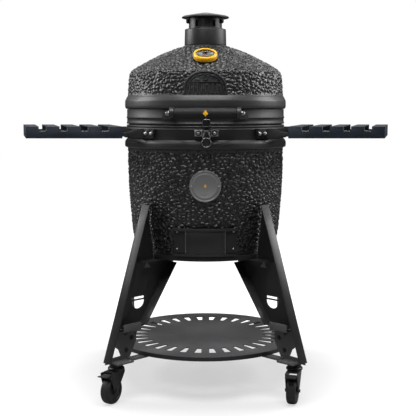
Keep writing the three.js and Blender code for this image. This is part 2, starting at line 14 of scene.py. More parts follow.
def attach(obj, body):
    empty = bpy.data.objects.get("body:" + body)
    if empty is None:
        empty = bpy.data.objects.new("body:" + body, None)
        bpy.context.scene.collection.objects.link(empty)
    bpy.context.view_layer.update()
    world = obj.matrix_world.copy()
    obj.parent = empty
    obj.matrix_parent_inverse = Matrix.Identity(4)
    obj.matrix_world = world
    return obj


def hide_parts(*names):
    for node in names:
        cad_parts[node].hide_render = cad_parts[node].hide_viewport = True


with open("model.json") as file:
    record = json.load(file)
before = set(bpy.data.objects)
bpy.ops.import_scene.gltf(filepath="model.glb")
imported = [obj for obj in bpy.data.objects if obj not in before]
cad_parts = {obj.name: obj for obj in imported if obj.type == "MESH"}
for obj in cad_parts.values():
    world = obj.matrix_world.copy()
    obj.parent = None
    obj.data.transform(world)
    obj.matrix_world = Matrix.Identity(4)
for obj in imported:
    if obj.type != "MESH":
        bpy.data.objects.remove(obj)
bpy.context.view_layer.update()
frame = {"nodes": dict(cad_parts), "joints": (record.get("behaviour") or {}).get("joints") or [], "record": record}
scene = bpy.context.scene

MM = 0.001
UPRIGHT = Matrix.Identity(4)
CORNERS = ("front_right", "front_left", "back_right", "back_left")


# ------------------------------------------------------------------ profiles and outlines
def through(points, step):
    """A smooth line through the points, as points a step apart."""
    ends = [Vector(points[0]) * 2 - Vector(points[1]), Vector(points[-1]) * 2 - Vector(points[-2])]
    knots = [ends[0]] + [Vector(p) for p in points] + [ends[1]]
    line = []
    for a, b, c, d in zip(knots, knots[1:], knots[2:], knots[3:]):
        count = max(1, round((c - b).length / step))
        for i in range(count):
            t = i / count
            line.append(0.5 * (2 * b + (c - a) * t + (2 * a - 5 * b + 4 * c - d) * t * t
                               + (3 * b - a - 3 * c + d) * t ** 3))
    return [tuple(p) for p in line] + [tuple(points[-1])]


def rounded(points, radius, steps=3, ends=True):
    """The outline with each corner turned into a small arc. ends is False on an open line."""
    out = []
    count = len(points)
    for i, point in enumerate(points):
        corner = Vector(point)
        if not ends and i in (0, count - 1):
            out.append(tuple(corner))
            continue
        before = Vector(points[i - 1]) - corner
        after = Vector(points[(i + 1) % count]) - corner
        reach = min(radius, before.length * 0.45, after.length * 0.45)
        start, end = corner + before.normalized() * reach, corner + after.normalized() * reach
        for k in range(steps + 1):
            t = k / steps
            out.append(tuple(start * (1 - t) ** 2 + corner * 2 * t * (1 - t) + end * t * t))
    return out


def arc(cx, cy, radius, start, end, steps):
    """Points of an arc, with its angles in degrees."""
    angles = [math.radians(start + (end - start) * i / steps) for i in range(steps + 1)]
    return [(cx + radius * math.cos(a), cy + radius * math.sin(a)) for a in angles]


def circle(cx, cy, radius, count=12):
    """Points of a whole circle."""
    return arc(cx, cy, radius, 0, 360, count)[:-1]


def chord(r, x):
    """Half the chord of a circle of radius r, at x from its middle."""
    return math.sqrt(r * r - x * x)


def flange(r, rise, z0, z1):
    """Section of a ceramic flange: a crisp lower edge, an upright face and a sloped upper one."""
    height = z1 - z0
    corners = [(r, z0), (r + rise * 0.8, z0 + height * 0.05), (r + rise, z0 + height * 0.2),
               (r + rise * 0.97, z0 + height * 0.62), (r + rise * 0.35, z0 + height * 0.9), (r, z1)]
    return rounded(corners, 3.2, ends=False)


# ------------------------------------------------------------------ meshes
# Shapes are drawn in millimetres and handed over in metres.
def new_object(name, mesh, material):
    mesh.materials.clear()
    mesh.materials.append(material)
    piece = bpy.data.objects.new(name, mesh)
    scene.collection.objects.link(piece)
    return piece


def shade(mesh, crease=35):
    """Smooth shading, broken where faces meet at more than crease degrees."""
    mesh.polygons.foreach_set("use_smooth", [True] * len(mesh.polygons))
    mesh.set_sharp_from_angle(angle=math.radians(crease))
    mesh.update()


def as_mesh(bm, crease=35):
    """A finished mesh from a shape: welded, facing outwards and in metres."""
    bmesh.ops.remove_doubles(bm, verts=bm.verts, dist=0.002)
    bmesh.ops.recalc_face_normals(bm, faces=bm.faces)
    bmesh.ops.scale(bm, vec=(MM, MM, MM), verts=bm.verts)
    mesh = bpy.data.meshes.new("shape")
    bm.to_mesh(mesh)
    bm.free()
    shade(mesh, crease)
    return mesh


def turned(profile, sides=96, place=UPRIGHT, crease=35):
    """A closed profile of (radius, height) points turned about Z."""
    bm = bmesh.new()
    turns = [2 * math.pi * i / sides for i in range(sides)]
    rings = []
    for r, z in profile:
        around = turns if r > 0.001 else [0]
        rings.append([bm.verts.new(place @ Vector((r * math.cos(a), r * math.sin(a), z))) for a in around])
    for low, high in zip(rings, rings[1:] + rings[:1]):
        for i in range(sides):
            j = (i + 1) % sides
            ring = [low[i % len(low)], low[j % len(low)], high[j % len(high)], high[i % len(high)]]
            corners = list(dict.fromkeys(ring))
            if len(corners) > 2:
                bm.faces.new(corners)
    return as_mesh(bm, crease)


def inset(outline, amount):
    """The closed outline pulled inwards by amount."""
    area = sum(a[0] * b[1] - b[0] * a[1] for a, b in zip(outline, outline[1:] + outline[:1]))
    turn = 1 if area > 0 else -1
    result = []
    for i, point in enumerate(outline):
        here = Vector(point)
        back = (here - Vector(outline[i - 1])).normalized()
        ahead = (Vector(outline[(i + 1) % len(outline)]) - here).normalized()
        along = (back + ahead).normalized()
        stretch = 1 / max(0.5, along.dot(ahead))
        result.append(tuple(here + Vector((-along.y, along.x)) * amount * turn * stretch))
    return result


def plate(outline, thickness, place=UPRIGHT, edge=0.0):
    """A flat outline given a thickness along Z, with its rims eased by edge."""
    bm = bmesh.new()
    levels = [(0, 0), (thickness, 0)]
    if edge:
        levels = [(0, edge), (edge * 0.3, edge * 0.3), (edge, 0), (thickness - edge, 0),
                  (thickness - edge * 0.3, edge * 0.3), (thickness, edge)]
    rings = [[bm.verts.new(place @ Vector((x, y, height))) for x, y in inset(outline, pull)]
             for height, pull in levels]
    for low, high in zip(rings, rings[1:]):
        for i in range(len(low)):
            j = (i + 1) % len(low)
            bm.faces.new([low[i], low[j], high[j], high[i]])
    bm.faces.new(rings[0])
    bm.faces.new(rings[-1])
    return as_mesh(bm)


def slab(us, vs, place, keep=lambda u, v: True, ring=False):
    """A sheet with two faces, made of cells. place(u, v, side) is a corner, keep(u, v) leaves holes."""
    bm = bmesh.new()
    columns, rows = len(us) - (0 if ring else 1), len(vs) - 1
    step = us[1] - us[0]
    cells = {(i, j) for i in range(columns) for j in range(rows)
             if keep(us[i] + step / 2, (vs[j] + vs[j + 1]) / 2)}
    corners = {}

    def corner(i, j, side):
        key = (i % len(us), j, side)
        if key not in corners:
            corners[key] = bm.verts.new(place(us[key[0]], vs[j], side))
        return corners[key]

    for i, j in sorted(cells):
        square = [(i, j), (i + 1, j), (i + 1, j + 1), (i, j + 1)]
        for side in (0, 1):
            bm.faces.new([corner(a, b, side) for a, b in square])
        around = [(i, j - 1), (i + 1, j), (i, j + 1), (i - 1, j)]
        for k, (a, b) in enumerate(around):
            if ((a % columns if ring else a), b) not in cells:
                (p, q), (r, s) = square[k], square[(k + 1) % 4]
                bm.faces.new([corner(p, q, 0), corner(r, s, 0), corner(r, s, 1), corner(p, q, 1)])
    return as_mesh(bm)


def rod(points, radius, sides=12, loop=False):
    """A round wire through the points."""
    curve = bpy.data.curves.new("wire", "CURVE")
    curve.dimensions = "3D"
    curve.bevel_depth = radius * MM
    curve.bevel_resolution = max(0, sides // 4 - 1)
    curve.use_fill_caps = True
    spline = curve.splines.new("POLY")
    spline.points.add(len(points) - 1)
    for knot, point in zip(spline.points, points):
        knot.co = (*(Vector(point) * MM), 1)
    spline.use_cyclic_u = loop
    holder = bpy.data.objects.new("wire", curve)
    mesh = bpy.data.meshes.new_from_object(holder)
    bpy.data.objects.remove(holder)
    shade(mesh, 40)
    return mesh


def merged(name, meshes, material):
    """One object made of several meshes."""
    bm = bmesh.new()
    for mesh in meshes:
        bm.from_mesh(mesh)
        bpy.data.meshes.remove(mesh)
    joined = bpy.data.meshes.new(name)
    bm.to_mesh(joined)
    bm.free()
    return new_object(name, joined, material)


def apply_modifiers(piece):
    graph = bpy.context.evaluated_depsgraph_get()
    mesh = bpy.data.meshes.new_from_object(piece.evaluated_get(graph), depsgraph=graph)
    piece.modifiers.clear()
    piece.data = mesh
    return piece


def fixed(piece, body, slot, *nodes):
    """The piece rides on a body and stands for the nodes, which it hides. The slot is not used."""
    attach(piece, body)
    if nodes:
        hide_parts(*nodes)
    return piece


def made(name, body, slot, meshes, *nodes):
    """A piece of one or more meshes in the finish of its slot."""
    return fixed(merged(name, meshes, FINISH[slot]), body, slot, *nodes)


def body_of(node):
    bodies = frame["record"]["behaviour"]["bodies"]
    return next(body for body, members in bodies.items() if node in members)


def slot_of(node):
    return next(s["material_slot"] for s in frame["record"]["subparts"] if s["node"] == node)


def eased(node, edge):
    """A frame node's own shape with its edges eased."""
    bm = bmesh.new()
    bm.from_mesh(frame["nodes"][node].data)
    bmesh.ops.remove_doubles(bm, verts=bm.verts, dist=0.002 * MM)
    bmesh.ops.dissolve_limit(bm, angle_limit=math.radians(1), verts=bm.verts, edges=bm.edges)
    sharp = [e for e in bm.edges if len(e.link_faces) == 2 and e.calc_face_angle(0) > math.radians(32)]
    bmesh.ops.bevel(bm, geom=sharp, offset=edge * MM, segments=2, profile=0.5, affect="EDGES",
                    clamp_overlap=True)
    mesh = bpy.data.meshes.new(node)
    bm.to_mesh(mesh)
    bm.free()
    shade(mesh, 38)
    return made(node + "_finish", body_of(node), slot_of(node), [mesh], node)


# ------------------------------------------------------------------ node trees
class Tree:
    """Short calls for building a node tree."""

    def __init__(self, tree):
        self.tree = tree

    def node(self, kind, **settings):
        made = self.tree.nodes.new(kind)
        for key, value in settings.items():
            setattr(made, key, value)
        return made

    def link(self, source, target):
        self.tree.links.new(source, target)

    def feed(self, node, **values):
        """Sets or links a node's inputs by name, with _ for a space."""
        for key, value in values.items():
            self.put(node.inputs[key.replace("_", " ")], value)
        return node

    def put(self, socket, value):
        if isinstance(value, bpy.types.NodeSocket):
            self.link(value, socket)
        else:
            socket.default_value = value

    def math(self, operation, a, b=0.0, clamp=False):
        made = self.node("ShaderNodeMath", operation=operation, use_clamp=clamp)
        self.put(made.inputs[0], a)
        self.put(made.inputs[1], b)
        return made.outputs[0]

    def flip(self, value):
        return self.math("SUBTRACT", 1.0, value)

    def noise(self, place, scale, detail):
        return self.feed(self.node("ShaderNodeTexNoise"), Vector=place, Scale=scale, Detail=detail).outputs

    def vector(self, operation, a, b=(0, 0, 0), result=0):
        made = self.node("ShaderNodeVectorMath", operation=operation)
        self.put(made.inputs[0], a)
        self.put(made.inputs[1], b)
        return made.outputs[result]

    def scaled(self, a, scale):
        made = self.node("ShaderNodeVectorMath", operation="SCALE")
        self.put(made.inputs[0], a)
        self.put(made.inputs["Scale"], scale)
        return made.outputs[0]

    def ramp(self, value, low, high, to_low=0.0, to_high=1.0):
        made = self.node("ShaderNodeMapRange", interpolation_type="SMOOTHSTEP")
        self.put(made.inputs["Value"], value)
        for name, number in (("From Min", low), ("From Max", high), ("To Min", to_low), ("To Max", to_high)):
            self.put(made.inputs[name], number)
        return made.outputs["Result"]

    def blend(self, factor, a, b):
        made = self.node("ShaderNodeMix", data_type="RGBA")
        self.put(made.inputs["Factor"], factor)
        self.put(made.inputs[6], a)
        self.put(made.inputs[7], b)
        return made.outputs[2]


def group_tree(name, kind, inputs, outputs):
    """A node group with named sockets: inputs are (name, socket type, default)."""
    tree = bpy.data.node_groups.new(name, kind)
    for label, socket, default in inputs:
        made = tree.interface.new_socket(label, in_out="INPUT", socket_type=socket)
        if default is not None:
            made.default_value = default
    for label, socket in outputs:
        tree.interface.new_socket(label, in_out="OUTPUT", socket_type=socket)
    build = Tree(tree)
    return tree, build, build.node("NodeGroupInput").outputs, build.node("NodeGroupOutput").inputs


FLOAT, INTEGER, VECTOR = "NodeSocketFloat", "NodeSocketInt", "NodeSocketVector"
GEOMETRY, MATERIAL = "NodeSocketGeometry", "NodeSocketMaterial"


def pebble_field(build, position, cell, stretch):
    """How far a point is from the groove between two pebbles, 0 at the groove and 1 on a pebble."""
    bend = build.noise(position, PEBBLE_BEND_SCALE, 0.0)["Color"]
    offset = build.scaled(build.vector("SUBTRACT", bend, (0.5, 0.5, 0.5)), PEBBLE_BEND)
    squeezed = build.vector("MULTIPLY", build.vector("ADD", position, offset), stretch)
    cells = build.node("ShaderNodeTexVoronoi", feature="DISTANCE_TO_EDGE")
    build.feed(cells, Vector=squeezed, Scale=build.math("DIVIDE", 1.0, cell))
    slope = build.math("DIVIDE", cells.outputs["Distance"], PEBBLE_GROOVE)
    near = build.math("SUBTRACT", 1.0, slope, clamp=True)
    return build.flip(build.math("MULTIPLY", near, near))


# ------------------------------------------------------------------ shared effects
def own_place(build):
    return build.node("ShaderNodeTexCoord").outputs["Object"]


def make_pebble_effect():
    tree, build, given, out = group_tree(
        "pebble pattern", "ShaderNodeTree",
        [("Cell", FLOAT, 0.011), ("Stretch", VECTOR, (1, 1, 1))], [("Height", FLOAT)])
    build.link(pebble_field(build, own_place(build), given["Cell"], given["Stretch"]), out["Height"])
    return tree


def make_grain_effect():
    """Fine orange peel of a sprayed coat, with broad changes of tone."""
    tree, build, given, out = group_tree(
        "coat grain", "ShaderNodeTree", [("Peel", FLOAT, 900.0), ("Patch", FLOAT, 9.0)],
        [("Peel Height", FLOAT), ("Patches", FLOAT), ("Specks", FLOAT)])
    place = own_place(build)
    speck = build.feed(build.node("ShaderNodeTexVoronoi"), Vector=place, Scale=given["Peel"])
    build.link(build.noise(place, given["Peel"], 2.0)["Fac"], out["Peel Height"])
    build.link(build.ramp(build.noise(place, given["Patch"], 5.0)["Fac"], 0.3, 0.7), out["Patches"])
    build.link(build.ramp(speck.outputs["Distance"], 0.12, 0.02), out["Specks"])
    return tree


def make_edge_effect():
    """A mask that is 1 along outer edges, broken up by noise."""
    tree, build, given, out = group_tree(
        "edge wear", "ShaderNodeTree", [("Reach", FLOAT, 0.0015)], [("Edge", FLOAT)])
    round_off = build.feed(build.node("ShaderNodeBevel", samples=4), Radius=given["Reach"])
    flat = build.node("ShaderNodeNewGeometry").outputs["Normal"]
    same = build.vector("DOT_PRODUCT", round_off.outputs["Normal"], flat, "Value")
    chips = build.noise(own_place(build), 180.0, 3.0)["Fac"]
    edge = build.ramp(same, 0.995, 0.86)
    build.link(build.math("MULTIPLY", edge, build.ramp(chips, 0.35, 0.7)), out["Edge"])
    return tree


def make_brush_effect():
    """Fine lines along one direction, as on brushed or turned steel."""
    tree, build, given, out = group_tree(
        "brushed lines", "ShaderNodeTree", [("Lines", VECTOR, (40, 900, 900))], [("Lines", FLOAT)])
    spread = build.vector("MULTIPLY", own_place(build), given["Lines"])
    build.link(build.noise(spread, 1.0, 3.0)["Fac"], out["Lines"])
    return tree


PEBBLE_CELL = 0.0162
PEBBLE_DEPTH = 0.0048
PEBBLE_STRETCH = (1.0, 1.0, 1.45)
PEBBLE_GROOVE = 0.44  # share of a cell that slopes down to its groove
PEBBLE_BEND, PEBBLE_BEND_SCALE = 0.006, 26.0

PEBBLES = make_pebble_effect()
GRAIN = make_grain_effect()
EDGES = make_edge_effect()
BRUSH = make_brush_effect()


# ------------------------------------------------------------------ finishes
def start_material(name, **settings):
    material = bpy.data.materials.new(name)
    material.use_nodes = True
    build = Tree(material.node_tree)
    surface = material.node_tree.nodes["Principled BSDF"]
    for key, value in settings.items():
        surface.inputs[key.replace("_", " ")].default_value = value
    return material, build, surface


def effect(build, tree, **values):
    made = build.node("ShaderNodeGroup", node_tree=tree)
    build.feed(made, **values)
    return made.outputs


def raise_surface(build, surface, height, distance, strength=1.0):
    bump = build.feed(build.node("ShaderNodeBump"), Height=height, Distance=distance, Strength=strength)
    build.link(bump.outputs["Normal"], surface.inputs["Normal"])


def glaze():
    """Black glossy glaze over pebbled clay, with painted shade darkening the grooves between pebbles."""
    material, build, surface = start_material("black_glaze", Coat_Weight=0.35, Coat_Roughness=0.28)
    pebble = effect(build, PEBBLES, Cell=PEBBLE_CELL, Stretch=PEBBLE_STRETCH)["Height"]
    grain = effect(build, GRAIN, Peel=420.0, Patch=6.0)
    textured = build.node("ShaderNodeAttribute", attribute_name="pebbled").outputs["Fac"]
    height = build.math("MULTIPLY", pebble, textured)
    tops = build.blend(grain["Patches"], (0.013, 0.0132, 0.0142, 1), (0.019, 0.0192, 0.0207, 1))
    # Painted shade: the base colour falls to near black in the grooves between pebbles.
    groove = build.math("MULTIPLY", textured, build.flip(pebble))
    build.link(build.blend(groove, tops, (0.0015, 0.0015, 0.0018, 1)), surface.inputs["Base Color"])
    smoother = build.ramp(grain["Patches"], 0, 1, 0.34, 0.42)
    matt = build.math("MULTIPLY", build.flip(textured), 0.16)
    build.link(build.math("ADD", smoother, matt), surface.inputs["Roughness"])
    relief = build.math("ADD", height, build.math("MULTIPLY", grain["Peel Height"], 0.04))
    raise_surface(build, surface, relief, 0.0006)
    return material


def coat(name, dark, light, rough=0.45, peel=900.0, worn=(0.16, 0.16, 0.165, 1), metallic=0.0):
    """Sprayed coat: two close tones in patches, orange peel, and edges rubbed a little lighter."""
    material, build, surface = start_material(name, Metallic=metallic)
    grain = effect(build, GRAIN, Peel=peel, Patch=7.0)
    edge = effect(build, EDGES)["Edge"]
    tone = build.blend(grain["Patches"], (*dark, 1), (*light, 1))
    flecked = build.blend(build.math("MULTIPLY", grain["Specks"], 0.25), tone, worn)
    build.link(build.blend(build.math("MULTIPLY", edge, 0.45), flecked, worn), surface.inputs["Base Color"])
    build.link(build.ramp(grain["Patches"], 0, 1, rough - 0.05, rough + 0.06), surface.inputs["Roughness"])
    raise_surface(build, surface, grain["Peel Height"], 0.00012)
    return material


def steel(name, tone, rough, lines=(60, 1400, 1400)):
    material, build, surface = start_material(name, Metallic=1.0)
    brushed = effect(build, BRUSH, Lines=lines)["Lines"]
    grain = effect(build, GRAIN, Peel=500.0, Patch=25.0)
    darker = tuple(c * 0.72 for c in tone)
    build.link(build.blend(brushed, (*darker, 1), (*tone, 1)), surface.inputs["Base Color"])
    spread = build.math("ADD", build.math("MULTIPLY", grain["Patches"], 0.1),
                        build.math("MULTIPLY", brushed, 0.12))
    build.link(build.math("ADD", spread, rough), surface.inputs["Roughness"])
    raise_surface(build, surface, brushed, 0.00004)
    return material


def earthy(name, dark, light, rough, peel, depth):
    """A matt rough body, such as fired clay, cast iron, felt or rubber."""
    material, build, surface = start_material(name)
    grain = effect(build, GRAIN, Peel=peel, Patch=12.0)
    build.link(build.blend(grain["Patches"], (*dark, 1), (*light, 1)), surface.inputs["Base Color"])
    build.link(build.ramp(grain["Patches"], 0, 1, rough - 0.08, rough + 0.04), surface.inputs["Roughness"])
    raise_surface(build, surface, grain["Peel Height"], depth)
    return material


def clear_glass():
    material, build, surface = start_material(
        "gauge_glass", Transmission_Weight=1.0, IOR=1.45, Metallic=0.0)
    surface.inputs["Base Color"].default_value = (0.93, 0.95, 0.95, 1)
    grain = effect(build, GRAIN, Peel=300.0, Patch=30.0)
    build.link(build.ramp(grain["Patches"], 0, 1, 0.03, 0.1), surface.inputs["Roughness"])
    return material


FINISH = {
    "glaze": glaze(),
    "fireclay": earthy("fired_clay", (0.30, 0.22, 0.15), (0.50, 0.40, 0.28), 0.9, 320.0, 0.0006),
    "band_steel": coat("black_band_coat", (0.007, 0.007, 0.008), (0.012, 0.012, 0.013), 0.48, 700.0,
                       (0.06, 0.06, 0.06, 1)),
    "felt": earthy("gasket_felt", (0.02, 0.02, 0.02), (0.05, 0.05, 0.048), 0.95, 1500.0, 0.0005),
    "stand_steel": coat("stand_coat", (0.013, 0.0132, 0.0140), (0.018, 0.0183, 0.0195), 0.42,
                        worn=(0.07, 0.07, 0.072, 1)),
    "bracket_steel": coat("bracket_coat", (0.076, 0.077, 0.080), (0.094, 0.095, 0.099), 0.5),
    "table_steel": coat("table_coat", (0.012, 0.017, 0.027), (0.018, 0.025, 0.038), 0.42),
    "stainless": steel("stainless", (0.56, 0.56, 0.55), 0.24),
    "cast_iron": earthy("cast_iron", (0.012, 0.012, 0.012), (0.03, 0.028, 0.027), 0.78, 600.0, 0.0004),
    "cast_aluminium": coat("black_casting", (0.014, 0.014, 0.015), (0.024, 0.024, 0.026), 0.42, 500.0,
                           (0.07, 0.07, 0.072, 1)),
    "grip": earthy("grip_rubber", (0.010, 0.010, 0.011), (0.018, 0.018, 0.019), 0.62, 1200.0, 0.0001),
    "bezel": coat("yellow_enamel", (0.90, 0.47, 0.012), (1.0, 0.54, 0.016), 0.34, 500.0,
                  (0.95, 0.60, 0.10, 1)),
    "dial": coat("dial_face", (0.03, 0.032, 0.035), (0.05, 0.052, 0.056), 0.6, 800.0),
    "needle": coat("red_pointer", (0.26, 0.035, 0.02), (0.34, 0.05, 0.03), 0.4, 800.0,
                   (0.6, 0.2, 0.1, 1)),
    "glass": clear_glass(),
    "caster_rubber": earthy("wheel_rubber", (0.010, 0.010, 0.011), (0.020, 0.020, 0.021), 0.55, 900.0,
                            0.00015),
    "badge_metal": coat("badge_enamel", (0.20, 0.202, 0.205), (0.24, 0.242, 0.245), 0.45, 600.0,
                        (0.3, 0.3, 0.3, 1), 0.3),
}


# ------------------------------------------------------------------ geometry trees
def grown(name, tree, body, slot, mesh, nodes=(), **values):
    """A piece made by a geometry tree from a mesh, with the tree's inputs given by name."""
    piece = new_object(name, mesh, FINISH[slot])
    modifier = piece.modifiers.new(tree.name, "NODES")
    modifier.node_group = tree
    sockets = {item.name: item.identifier for item in tree.interface.items_tree
               if item.item_type == "SOCKET" and item.in_out == "INPUT"}
    for label, value in {"Material": FINISH[slot], **values}.items():
        modifier[sockets[label.replace("_", " ")]] = value
    apply_modifiers(piece)
    shade(piece.data, 50)
    return fixed(piece, body, slot, *nodes)


def finish_tree(build, geometry, material, out):
    real = build.feed(build.node("GeometryNodeRealizeInstances"), Geometry=geometry)
    paint = build.node("GeometryNodeSetMaterial")
    build.feed(paint, Geometry=real.outputs["Geometry"], Material=material)
    build.link(paint.outputs["Geometry"], out)


def attribute(build, name, kind):
    found = build.node("GeometryNodeInputNamedAttribute", data_type=kind)
    return build.feed(found, Name=name).outputs["Attribute"]


def upward(build, z, xy=0.0):
    return build.feed(build.node("ShaderNodeCombineXYZ"), X=xy, Y=xy, Z=z).outputs[0]


def stand_along(build, given, shape, out, scale=(1, 1, 1)):
    """A copy of the shape on each given point, with its Z along the point's facing vector."""
    turn = build.feed(build.node("FunctionNodeAlignRotationToVector", axis="Z"),
                      Vector=attribute(build, "facing", "FLOAT_VECTOR"))
    spread = build.feed(build.node("GeometryNodeInstanceOnPoints"), Points=given["Geometry"],
                        Instance=shape, Rotation=turn.outputs[0], Scale=scale)
    finish_tree(build, spread.outputs[0], given["Material"], out["Geometry"])


def make_pebble_tree():
    """Sinks the grooves between pebbles into a shell, where its pebbled attribute says so."""
    tree, build, given, out = group_tree(
        "pebbled clay", "GeometryNodeTree",
        [("Geometry", GEOMETRY, None), ("Cell", FLOAT, 0.0125), ("Depth", FLOAT, 0.0022),
         ("Material", MATERIAL, None)], [("Geometry", GEOMETRY)])
    place = build.node("GeometryNodeInputPosition").outputs[0]
    facing = build.node("GeometryNodeInputNormal").outputs[0]
    pebble = pebble_field(build, place, given["Cell"], PEBBLE_STRETCH)
    sunk = build.math("MULTIPLY", build.math("SUBTRACT", pebble, 1.0), attribute(build, "pebbled", "FLOAT"))
    offset = build.scaled(facing, build.math("MULTIPLY", sunk, given["Depth"]))
    move = build.feed(build.node("GeometryNodeSetPosition"), Geometry=given["Geometry"], Offset=offset)
    finish_tree(build, move.outputs["Geometry"], given["Material"], out["Geometry"])
    return tree


def make_bolt_tree():
    """A washer, a head and a crown on each point, standing along its facing vector."""
    tree, build, given, out = group_tree(
        "bolt heads", "GeometryNodeTree",
        [("Geometry", GEOMETRY, None), ("Washer", FLOAT, 0.008), ("Head", FLOAT, 0.006),
         ("Height", FLOAT, 0.005), ("Sides", INTEGER, 6), ("Crown", FLOAT, 0.0),
         ("Material", MATERIAL, None)], [("Geometry", GEOMETRY)])
    height = given["Height"]
    washer = build.feed(build.node("GeometryNodeMeshCylinder"), Vertices=24, Radius=given["Washer"],
                        Depth=build.math("MULTIPLY", height, 0.25))
    head = build.feed(build.node("GeometryNodeMeshCylinder"), Vertices=given["Sides"],
                      Radius=given["Head"], Depth=height)
    crown = build.feed(build.node("GeometryNodeMeshUVSphere"), Segments=20, Rings=10, Radius=given["Crown"])
    lift = build.feed(build.node("GeometryNodeTransform"), Geometry=head.outputs["Mesh"],
                      Translation=upward(build, build.math("MULTIPLY", height, 0.5)))
    squash = build.feed(build.node("GeometryNodeTransform"), Geometry=crown.outputs["Mesh"],
                        Translation=upward(build, height), Scale=(1, 1, 0.7))
    bolt = build.node("GeometryNodeJoinGeometry")
    for part in (squash.outputs[0], lift.outputs[0], washer.outputs["Mesh"]):
        build.link(part, bolt.inputs[0])
    stand_along(build, given, bolt.outputs[0], out)
    return tree


def make_bar_tree():
    """Round bars centred on the points, along their facing vectors and as long as them."""
    tree, build, given, out = group_tree(
        "bars", "GeometryNodeTree",
        [("Geometry", GEOMETRY, None), ("Radius", FLOAT, 0.003), ("Sides", INTEGER, 10),
         ("Material", MATERIAL, None)], [("Geometry", GEOMETRY)])
    bar = build.feed(build.node("GeometryNodeMeshCylinder"), Vertices=given["Sides"],
                     Radius=given["Radius"], Depth=1.0)
    span = build.vector("LENGTH", attribute(build, "facing", "FLOAT_VECTOR"), result="Value")
    stand_along(build, given, bar.outputs["Mesh"], out, upward(build, span, 1.0))
    return tree


def points_mesh(places):
    """Loose points in millimetres, each with a facing vector."""
    mesh = bpy.data.meshes.new("points")
    mesh.from_pydata([Vector(point) * MM for point, _ in places], [], [])
    facing = mesh.attributes.new("facing", "FLOAT_VECTOR", "POINT")
    for item, (_, vector) in zip(facing.data, places):
        item.vector = vector
    return mesh


PEBBLED_CLAY = make_pebble_tree()
BOLT_HEADS = make_bolt_tree()
BARS = make_bar_tree()


def bolts(name, body, slot, places, washer=8.0, head=6.0, height=5.0, sides=6, crown=0.0):
    """Bolts, nuts or rivets on one body. places are (point, direction the head points)."""
    grown(name, BOLT_HEADS, body, slot, points_mesh(places), Washer=washer * MM, Head=head * MM,
          Height=height * MM, Sides=sides, Crown=crown * MM)


def bars(name, body, slot, runs, radius, nodes=(), sides=10):
    """Straight round bars, each from one point to another."""
    places = [((Vector(a) + Vector(b)) / 2, (Vector(b) - Vector(a)) * MM) for a, b in runs]
    return grown(name, BARS, body, slot, points_mesh(places), nodes, Radius=radius * MM, Sides=sides)


# ------------------------------------------------------------------ shells
ROUND = 600  # columns round a pebbled shell
PEBBLE_STEP = 2.8
BOWL = through([(238, 460), (253, 502), (261.4, 556), (267.6, 630), (272, 694), (274.4, 773), (274.2, 830)],
               PEBBLE_STEP)
DOME = through([(273, 1010), (271, 1048), (268, 1076), (263, 1091), (242, 1108), (200, 1131), (143, 1159),
                (85, 1180), (73.2, 1182.5)], PEBBLE_STEP)
EMBLEM = {"half": 69.5, "foot": 1010, "spring": 1030, "top": 1087}


def ramp(value, low, high):
    return min(1.0, max(0.0, (value - low) / (high - low)))


def radius_at(profile, z):
    return float(np.interp(z, [p[1] for p in profile], [p[0] for p in profile]))


def outside_emblem(x, z):
    """How far a point is outside the arched outline of the emblem, in millimetres."""
    rise = EMBLEM["top"] - EMBLEM["spring"]
    if z > EMBLEM["spring"]:
        return math.hypot(x, (z - EMBLEM["spring"]) * EMBLEM["half"] / rise) - EMBLEM["half"]
    return max(abs(x) - EMBLEM["half"], EMBLEM["foot"] - z)


def dome_pebbled(point):
    emblem = 0.35 + 0.65 * ramp(outside_emblem(point.x, point.z), 0, 4) if point.y < 0 else 1.0
    return ramp(point.z, 1009, 1014) * ramp(point.xy.length, 76, 82) * emblem


def bowl_pebbled(point):
    return ramp(point.z, 478, 486) * ramp(829 - point.z, 0, 8)


def pebbled_shell(name, node, profile, outer, pebbled, opening=None):
    """A turned shell whose outer wall is pebbled as far as pebbled(point) says."""
    mesh = turned(profile, ROUND, crease=60)
    weights = mesh.attributes.new("pebbled", "FLOAT", "POINT")
    heights, radii = [p[1] for p in outer], [p[0] for p in outer]
    for item, vertex in zip(weights.data, mesh.vertices):
        point = vertex.co / MM
        outside = abs(np.interp(point.z, heights, radii) - point.xy.length) < 4
        item.value = pebbled(point) if outside else 0.0
    if opening:
        mesh = pierced(mesh, opening)
    grown(name, PEBBLED_CLAY, body_of(node), "glaze", mesh, (node,), Cell=PEBBLE_CELL, Depth=PEBBLE_DEPTH)


def pierced(mesh, cutter):
    """The mesh with the cutter's shape taken out of it."""
    body = bpy.data.objects.new("body", mesh)
    tool = bpy.data.objects.new("tool", cutter)
    scene.collection.objects.link(body)
    scene.collection.objects.link(tool)
    cut = body.modifiers.new("cut", "BOOLEAN")
    cut.operation, cut.object, cut.solver = "DIFFERENCE", tool, "EXACT"
    apply_modifiers(body)
    result = body.data
    bpy.data.objects.remove(body)
    bpy.data.objects.remove(tool)
    return result


def across(x0):
    """Place for a plate drawn in Y and Z, from X = x0."""
    return Matrix(((0, 0, 1, x0), (1, 0, 0, 0), (0, 1, 0, 0), (0, 0, 0, 1)))


def facing_front(y, x=0, z=0):
    """Place for a plate drawn in X and Z, from (x, z), whose thickness runs forward from Y = y."""
    return Matrix(((1, 0, 0, x), (0, 0, -1, y), (0, 1, 0, z), (0, 0, 0, 1)))


def tipped(axis, at, turn=math.pi / 2):
    """Place at a point, with Z tipped about an axis."""
    return Matrix.Translation(at) @ Matrix.Rotation(turn, 4, axis)


def front_point(r, turn, z):
    """A point r from the middle, turn degrees round from the front."""
    a = math.radians(turn)
    return Vector((r * math.sin(a), -r * math.cos(a), z))


def curved(r0, r1):
    """Place for a slab of turns and heights, from r0 out to r1."""
    return lambda turn, z, side: front_point((r0, r1)[side], turn, z)


def rectangle(x0, x1, y0, y1):
    return [(x0, y0), (x1, y0), (x1, y1), (x0, y1)]


